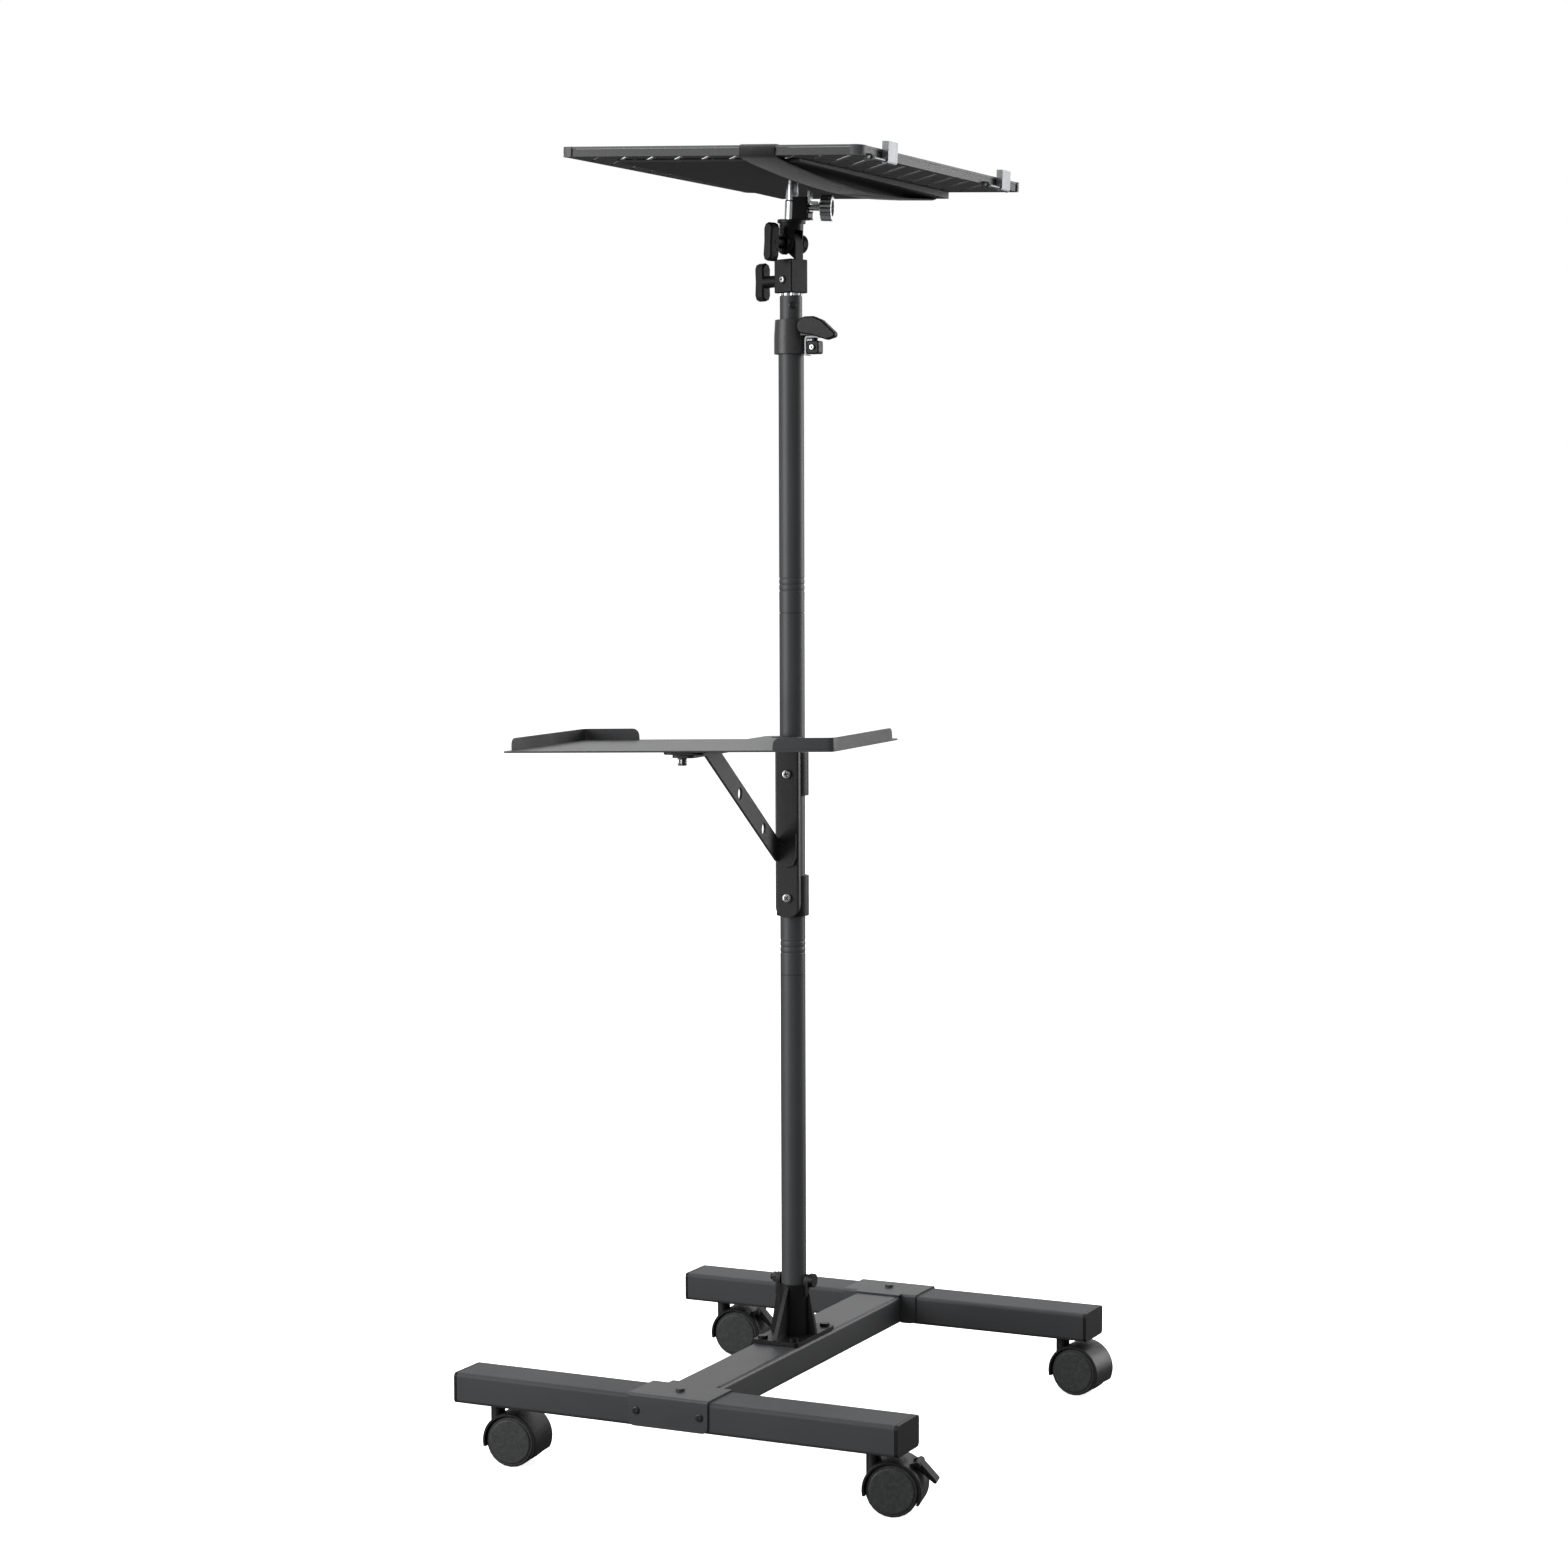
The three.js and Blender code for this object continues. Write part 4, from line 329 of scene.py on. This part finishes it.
# %% Webbing
def woven_webbing():
    material = bpy.data.materials.new("woven_nylon_webbing")
    tree = start(material)
    flat = add(tree, "UVMap", {"uv_map": "strap"}).outputs["UV"]
    floats = add(tree, "TexBrick", {"offset": 0.5}, Vector=flat, Scale=1,
                 Brick_Width=3.0 * MM, Row_Height=1.2 * MM, Mortar_Size=0.2 * MM,
                 Mortar_Smooth=1.0, Color1=linear("#1c1c1d"), Color2=linear("#252526"),
                 Mortar=linear("#0c0c0d"))
    bump = add(tree, "Bump", {"invert": True}, Height=floats.outputs["Fac"], Strength=0.8,
               Distance=0.4 * MM)
    nylon = add(tree, "BsdfPrincipled", Roughness=0.72, IOR=1.53, Sheen_Weight=0.35,
                Sheen_Roughness=0.4, Base_Color=floats.outputs["Color"],
                Normal=bump.outputs["Normal"])
    add(tree, "OutputMaterial", Surface=nylon.outputs["BSDF"])
    return material


webbing = woven_webbing()
print("webbing made")

# %% [markdown]
# The shelf is one sheet with lips turned up round two opposite corners. A press tool leaves the
# four free ends of the lips round at the top. Those ends are found by their place: a short edge,
# as long as the sheet is thick, at the lips' full height above the shelf's face. A bevel weight
# marks each one, so that the bevel leaves all other edges alone.

# %% Rounded corners on the shelf's lips
lip_radius, lip_sheet, lip_slack = 7.0, 1.6, 0.5


def round_lip_ends(piece):
    face = Vector(mounts["shelf_face"]["pos_m"])
    upwards = Vector(mounts["shelf_face"]["axis"])
    places = [piece.matrix_world @ vertex.co for vertex in piece.data.vertices]
    heights = [(place - face).dot(upwards) for place in places]
    lip_top = max(heights) - lip_slack * MM
    weights = piece.data.attributes.new("bevel_weight_edge", "FLOAT", "EDGE")
    for edge in piece.data.edges:
        a, b = edge.vertices
        across_sheet = (places[a] - places[b]).length < (lip_sheet + lip_slack) * MM
        if across_sheet and min(heights[a], heights[b]) > lip_top:
            weights.data[edge.index].value = 1
            print("lip end at", [round(value, 3) for value in places[a]])
    modify(piece, "BEVEL", width=lip_radius * MM, segments=5, limit_method="WEIGHT")


print("lip corners are rounded to", lip_radius, "mm")

# %% [markdown]
# Most rigid pieces have the right shape already, but their edges are perfectly sharp and their
# round walls are flat facets. A real edge always has a small radius that catches the light. A
# copy of the piece is merged, its flat faces are cleaned, a bevel rounds the edges, and smooth
# shading up to a given angle hides the facets. The CAD node itself is left alone.

# %% Soften the edges of a piece
merge_distance, flat_angle, smooth_angle = 0.02 * MM, math.radians(0.5), math.radians(40)


def dress(node, material, edge_mm):
    piece = new_object(node + "_finished", frame["nodes"][node].data.copy())
    choose(piece)
    bpy.ops.object.mode_set(mode="EDIT")
    bpy.ops.mesh.select_all(action="SELECT")
    bpy.ops.mesh.customdata_custom_splitnormals_clear()
    bpy.ops.mesh.remove_doubles(threshold=merge_distance)
    bpy.ops.mesh.dissolve_limited(angle_limit=flat_angle)
    bpy.ops.object.mode_set(mode="OBJECT")
    if node == "shelf_tray":
        round_lip_ends(piece)
    if edge_mm:
        modify(piece, "BEVEL", width=edge_mm * MM, segments=2, limit_method="ANGLE",
               angle_limit=smooth_angle, miter_outer="MITER_ARC")
    bpy.ops.object.shade_smooth_by_angle(angle=smooth_angle)
    modify(piece, "WEIGHTED_NORMAL", keep_sharp=True, weight=60)
    finish_piece(piece, material, frame["nodes"][node]["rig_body"])
    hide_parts(node)


print("edges over", round(math.degrees(smooth_angle)), "degrees are softened")

# %% [markdown]
# The record gives each piece a slot, and a slot has a material and a usual width of edge in
# millimetres. Some pieces differ from the rest of their slot: the bars, the dark brackets, the
# brushed plates and the caster hoods have a finish of their own. The saddles are folded sheet
# with rounder edges, and the tray's thin sheet keeps the crisp edges of its punched slots.

# %% Dress every rigid piece
by_slot = {
    "powder_coat": (satin_steel, 0.5),
    "tube_coat": (tube_steel, 0.3),
    "black_plastic": (black_nylon, 0.4),
    "wheel_plastic": (wheel_nylon, 0.3),
    "bright_steel": (chrome_plate, 0.25),
    "rubber": (rim_rubber, 0.3),
}
own_material = {
    "front_bar": bar_steel, "rear_bar": bar_steel, "tray_pan": pan_steel,
    "post_channel": bracket_steel, "shelf_brace": bracket_steel, "shelf_arm": bracket_steel,
    "front_edge_stop": brushed_steel, "rear_edge_stop": brushed_steel,
    "clamp_plate": brushed_steel, "socket_nut": black_screw, "tray_nut": zinc_screw,
    "collar_clamp": collar_nylon,
}
own_material.update({node: hood_nylon for node in node_slot if node.endswith("_hood")})
own_edge = {"tray_sheet": 0.0, "front_saddle": 0.8, "rear_saddle": 0.8}
rigid = {node: slot for node, slot in node_slot.items() if slot != "webbing"}
for node, slot in rigid.items():
    material, edge_mm = by_slot[slot]
    dress(node, own_material.get(node, material), own_edge.get(node, edge_mm))
print("dressed pieces:", len(rigid))

# %% [markdown]
# The tray stands on the head, which is turned round the column and leans a little. The same
# turns are repeated here, so that the strap can be laid out in the tray's own axes: X to the
# tray's right, Y towards its rear and Z up from its middle. Angles are in degrees.

# %% The tray's own axes
head_turn, tray_lean, tray_turn = 70.5, 2.8, 1.4
tray_offset = Vector((6, 3, 67)) * MM


def turn(angle, axis):
    return Matrix.Rotation(math.radians(angle), 4, axis)


mast_top = Matrix.Translation(Vector(joints["head_swivel"]["pos_m"]))
lean = turn(head_turn, "Z") @ turn(tray_lean, "X") @ turn(-head_turn, "Z")
tray_axes = mast_top @ lean @ Matrix.Translation(tray_offset) @ turn(tray_turn, "Z")
print("tray middle", [round(value, 4) for value in tray_axes.translation])

# %% [markdown]
# The strap is one loop of webbing round the tray. It lies across the rubber rim, goes down over
# both ends and is drawn close below the pan. Its path is a few straight runs, in millimetres in
# the tray's axes. A quadratic curve, which leaves and joins the runs 30 mm from each corner or
# less, bends it there as softly as webbing bends.

# %% The strap's path
def smooth_path(points, bend, steps=5):
    """Rounds the corners of a closed path of points."""
    line = []
    for i, corner in enumerate(points):
        before, after = points[i - 1] - corner, points[(i + 1) % len(points)] - corner
        # less than half of a run, so that two bends never meet
        trim = min(bend, before.length / 2.2, after.length / 2.2)
        first = corner + before.normalized() * trim
        last = corner + after.normalized() * trim
        for k in range(steps + 1):
            share = k / steps
            line.append(first * (1 - share) ** 2 + corner * 2 * share * (1 - share)
                        + last * share ** 2)
    return line


side, rim_end, rim_top, rim_foot = 50, 210.3, 9.9, -1
over_tray = [(side, -rim_end, rim_foot), (side, -rim_end, rim_top), (side, -120, rim_top - 1.6),
             (side, 0, rim_top - 2.4), (side, 120, rim_top - 1.6), (side, rim_end, rim_top),
             (side, rim_end, rim_foot)]
under_pan = [(side, 192, -9), (side + 1, 90, -15.5), (side + 1, 0, -16.4),
             (side + 1, -90, -12.5), (side, -180, -5)]
strap_line = smooth_path([Vector(point) for point in over_tray + under_pan], bend=30)
print("points along the strap:", len(strap_line))

# %% [markdown]
# A strap could be a curve with a flat section, but such a section twists where the path turns.
# So a closed strip of faces is laid along the path, level from side to side. Each face gets its
# place in a UV map, measured along and across the strap, so that the weave runs with it.
# Solidify then gives the strip the webbing's thickness, and a bevel its soft selvedge.

# %% Strap
strap_width, strap_thickness = 36, 1.5
made_angle = math.radians(35)


def strap_mesh():
    count = len(strap_line)
    points = [Vector((p.x + edge * strap_width / 2, p.y, p.z)) * MM
              for p in strap_line for edge in (-1, 1)]
    faces = [(2 * i, 2 * i + 1, (2 * i + 3) % (2 * count), (2 * i + 2) % (2 * count))
             for i in range(count)]
    mesh = bpy.data.meshes.new("strap_webbing")
    mesh.from_pydata(points, [], faces)
    run, across = 0.0, strap_width * MM
    layer = mesh.uv_layers.new(name="strap")
    for face, a, b in zip(mesh.polygons, strap_line, strap_line[1:] + strap_line[:1]):
        run_end = run + (b - a).length * MM
        corners = [(run, 0), (run, across), (run_end, across), (run_end, 0)]
        for loop, corner in zip(face.loop_indices, corners):
            layer.data[loop].uv = corner
        run = run_end
    print("strap loop length", round(run, 3), "m")
    return mesh


strap = new_object("strap_webbing", strap_mesh())
choose(strap)
bpy.ops.object.mode_set(mode="EDIT")
bpy.ops.mesh.select_all(action="SELECT")
bpy.ops.mesh.normals_make_consistent(inside=False)
bpy.ops.object.mode_set(mode="OBJECT")
modify(strap, "SOLIDIFY", thickness=strap_thickness * MM, offset=0)
modify(strap, "BEVEL", width=0.4 * MM, segments=2, limit_method="ANGLE")
bpy.ops.object.shade_smooth_by_angle(angle=made_angle)
place(strap, tray_axes)
finish_piece(strap, webbing, "tray")
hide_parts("strap")

# %% [markdown]
# Cross-recess screws hold the pieces together, and each gets a real head: a low dome with a cross
# sunk into it. One head is modelled from a cylinder whose rims are rounded with a wide bevel, and
# the cross is cut with two thin bars. The other heads are copies with their own mesh.

# %% Model screw head
head_radius, head_height = 3.6, 1.4
dome = 0.45 * head_height
cross_bar = Vector((1.15 * head_radius, 0.26 * head_radius, 1.1 * head_height))


def screw_head():
    bpy.ops.object.select_all(action="DESELECT")
    bpy.ops.mesh.primitive_cylinder_add(vertices=40, radius=head_radius * MM,
                                        depth=head_height * MM)
    head = bpy.context.object
    head.name = "screw_head"
    modify(head, "BEVEL", width=dome * MM, segments=4, limit_method="ANGLE")
    for turned_by in (0, 90):
        bpy.ops.object.select_all(action="DESELECT")
        bpy.ops.mesh.primitive_cube_add(size=1, location=(0, 0, head_height / 2 * MM))
        bar = bpy.context.object
        bar.scale = cross_bar * MM
        bar.rotation_euler.z = math.radians(turned_by)
        place(bar)
        modify(head, "BOOLEAN", object=bar, operation="DIFFERENCE", solver="EXACT")
        bpy.data.objects.remove(bar)
    choose(head)
    bpy.ops.object.shade_smooth_by_angle(angle=made_angle)
    return head


model_head = screw_head()
print("model head has", len(model_head.data.polygons), "faces")

# %% [markdown]
# A copy of the head is stretched to its own size, turned to face the way that the screw goes in,
# and set down with its base on a point. The twist turns the cross, because no two real screws
# stop at the same angle.

# %% Set a screw head
def set_head(name, at, facing, body, metal, twist, radius_mm=head_radius, height_mm=head_height):
    head = new_object(name, model_head.data.copy())
    aim = Vector(facing).to_track_quat("Z", "Y").to_matrix().to_4x4()
    lift = Matrix.Translation((0, 0, height_mm / 2 * MM))
    size = Matrix.Diagonal((radius_mm / head_radius, radius_mm / head_radius,
                            height_mm / head_height, 1))
    place(head, Matrix.Translation(at) @ aim @ turn(twist, "Z") @ lift @ size)
    finish_piece(head, metal, body)


print("a model head is", 2 * head_radius, "mm wide and", head_height, "mm high")

# %% [markdown]
# Each saddle is held by two black screws in its outer face, one on either side of the spine. The
# engineering model has a flat round head there, and those heads are the outer face of the
# saddle's own box. So the place comes from that box, and each detailed head is sunk a little
# into its face, to cover the flat one.

# %% Screws on the saddles
screw_aside, screw_rise, screw_sunk = 33.5 * MM, 15 * MM, 0.8 * MM
for end, outwards in (("front", -1), ("rear", 1)):
    low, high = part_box(end + "_saddle")
    face = low.y if outwards < 0 else high.y
    middle = (low.x + high.x) / 2
    for side_name, sign in (("left", -1), ("right", 1)):
        at = Vector((middle + sign * screw_aside, face - outwards * screw_sunk,
                     low.z + screw_rise))
        set_head(f"{end}_{side_name}_saddle_screw", at, (0, outwards, 0), "base", black_screw,
                 twist=30 * sign)
print("saddle screws set")

# %% [markdown]
# The other screws stand on the engineering model already, as plain round studs, and a detailed
# head goes over each one and stands half a millimetre proud of it. Its place is read from the
# model: the face that lies farthest along the screw's own direction, which is given in degrees
# round the column from the cart's right.

# %% Screws on the column
proud_mm = 0.5


def far_face(node, direction, depth=0.2 * MM):
    """The middle of the face of a CAD node that lies farthest along a direction."""
    aim = Vector(direction).normalized()
    solid = frame["nodes"][node]
    corners = [solid.matrix_world @ vertex.co for vertex in solid.data.vertices]
    reach = max(corner.dot(aim) for corner in corners)
    face = [corner for corner in corners if corner.dot(aim) > reach - depth]
    return sum(face, Vector()) / len(face)


for name, node, degrees, body, metal, radius_mm, sunk_mm, twist in (
        ("upper_ring_screw", "upper_ring_clamp", -83, "base", zinc_screw, 4.4, 2.0, 15),
        ("lower_ring_screw", "lower_ring_clamp", -83, "base", zinc_screw, 4.4, 2.0, 50),
        ("mast_screw", "mast_tube", -57, "mast", black_screw, 3.5, 1.2, 35),
        ("head_set_screw", "head_block", head_turn + 180, "head", zinc_screw, 3.2, 1.2, 10),
        ("clamp_block_screw", "clamp_block", -90, "base", zinc_screw, 2.8, 1.2, 25)):
    facing = Vector((math.cos(math.radians(degrees)), math.sin(math.radians(degrees)), 0))
    at = far_face(node, facing) - facing * sunk_mm * MM
    set_head(name, at, facing, body, metal, twist, radius_mm, sunk_mm + proud_mm)
bpy.data.objects.remove(model_head)
print("column screws set")

# %% [markdown]
# Two bright nuts hang under the shelf: one on the arm's screw and one on the far stud. A hexagon is
# made from a six-sided cylinder, and its rims are bevelled the way that a turned nut's are. The
# end of the stud stands out a little below the nut.

# %% Nuts under the shelf
nut_radius, nut_height, nut_twist, stud_end = 4.7, 6.6, 20, 0.2


def set_nut(name, node):
    foot = far_face(node, (0, 0, -1))
    bpy.ops.object.select_all(action="DESELECT")
    bpy.ops.mesh.primitive_cylinder_add(vertices=6, radius=nut_radius * MM,
                                        depth=nut_height * MM)
    nut = bpy.context.object
    nut.name = name
    modify(nut, "BEVEL", width=0.5 * MM, segments=2, limit_method="ANGLE")
    bpy.ops.object.shade_smooth_by_angle(angle=made_angle)
    middle = foot + Vector((0, 0, nut_height / 2 + stud_end)) * MM
    place(nut, Matrix.Translation(middle) @ turn(nut_twist, "Z"))
    finish_piece(nut, zinc_screw, "base")


set_nut("arm_screw_nut", "shelf_arm")
set_nut("far_stud_nut", "shelf_tray")
print("nuts set")

# %% [markdown]
# The setting is a plain pale floor in a pale room. The photograph has a white ground and yet
# dark undersides, so floor and room look white to the camera but give the object less light:
# a Light Path node tells the two apart. The floor keeps a faint contact shadow.

# %% What is seen and what is felt
def seen_or_felt(tree, seen, felt):
    """Mixes two shaders: one for what the camera sees, one for the light that objects get."""
    is_seen = add(tree, "LightPath").outputs["Is Camera Ray"]
    mix = add(tree, "MixShader", Fac=is_seen, _1=felt.outputs[0], _2=seen.outputs[0])
    return mix.outputs[0]


print("seen and felt light can be told apart")

# %% [markdown]
# The floor is matt paper, so wide that its edge is never in sight. To the camera it glows, so
# that it comes out white all over, and the light that it gives back is that of a dim grey.

# %% Floor
floor_size, floor_glow = 120, 0.85
white, dim_grey = linear("#ffffff"), linear("#6f6f6f")
bpy.ops.object.select_all(action="DESELECT")
bpy.ops.mesh.primitive_plane_add(size=floor_size)
floor = bpy.context.object
floor.name = "floor"
floor_paint = bpy.data.materials.new("floor_paint")
paint = start(floor_paint)
pale = add(paint, "BsdfDiffuse", Color=white)
glow = add(paint, "Emission", Color=white, Strength=floor_glow)
lit = add(paint, "AddShader", _0=pale.outputs[0], _1=glow.outputs[0])
dim = add(paint, "BsdfDiffuse", Color=dim_grey)
add(paint, "OutputMaterial", Surface=seen_or_felt(paint, lit, dim))
floor.data.materials.append(floor_paint)
print("floor made,", floor_size, "m wide")

# %% [markdown]
# The room is an even white all round, and the object feels a third of it. The Standard view
# keeps white as white, where a film-like view would turn it grey.

# %% Room
room_light = 0.33
world = bpy.data.worlds.new("world")
bpy.context.scene.world = world
room = start(world)
bright_room = add(room, "Background", Color=white, Strength=1.0)
dim_room = add(room, "Background", Color=white, Strength=room_light)
add(room, "OutputWorld", Surface=seen_or_felt(room, bright_room, dim_room))
bpy.context.scene.view_settings.view_transform = "Standard"
print("room made")

# %% [markdown]
# Four soft lights. The one far behind grazes the tops of the bars and turns them mid grey. The tall
# one at the front left draws the bright band down the column, the one at the back right lights the
# ends of the bars and the tray's right side, and the one overhead fills in.

# %% Lights
def softbox(name, at, aim_at, size, radiance):
    """A rectangular lamp. Its power is the radiance of its face times its area times pi."""
    data = bpy.data.lights.new(name, "AREA")
    data.shape = "RECTANGLE"
    data.size, data.size_y = size
    data.energy = radiance * size[0] * size[1] * math.pi
    lamp = new_object(name, data)
    lamp.visible_camera = False
    lamp.location = at
    lamp.rotation_euler = (Vector(aim_at) - Vector(at)).to_track_quat("-Z", "Y").to_euler()
    print("lamp", name, "of", round(data.energy), "W")


softbox("behind", (-2.8, 6.0, 3.0), (0, 0, 0.6), (8.0, 3.2), 1.0)
softbox("overhead", (0.0, 0.2, 3.6), (0, 0, 0), (2.2, 2.2), 6)
softbox("front_left", (-2.1, -2.6, 1.1), (0, 0, 0.7), (2.0, 2.6), 5)
softbox("right_back", (2.15, 2.75, 1.25), (0, 0, 0.7), (1.6, 2.2), 5)
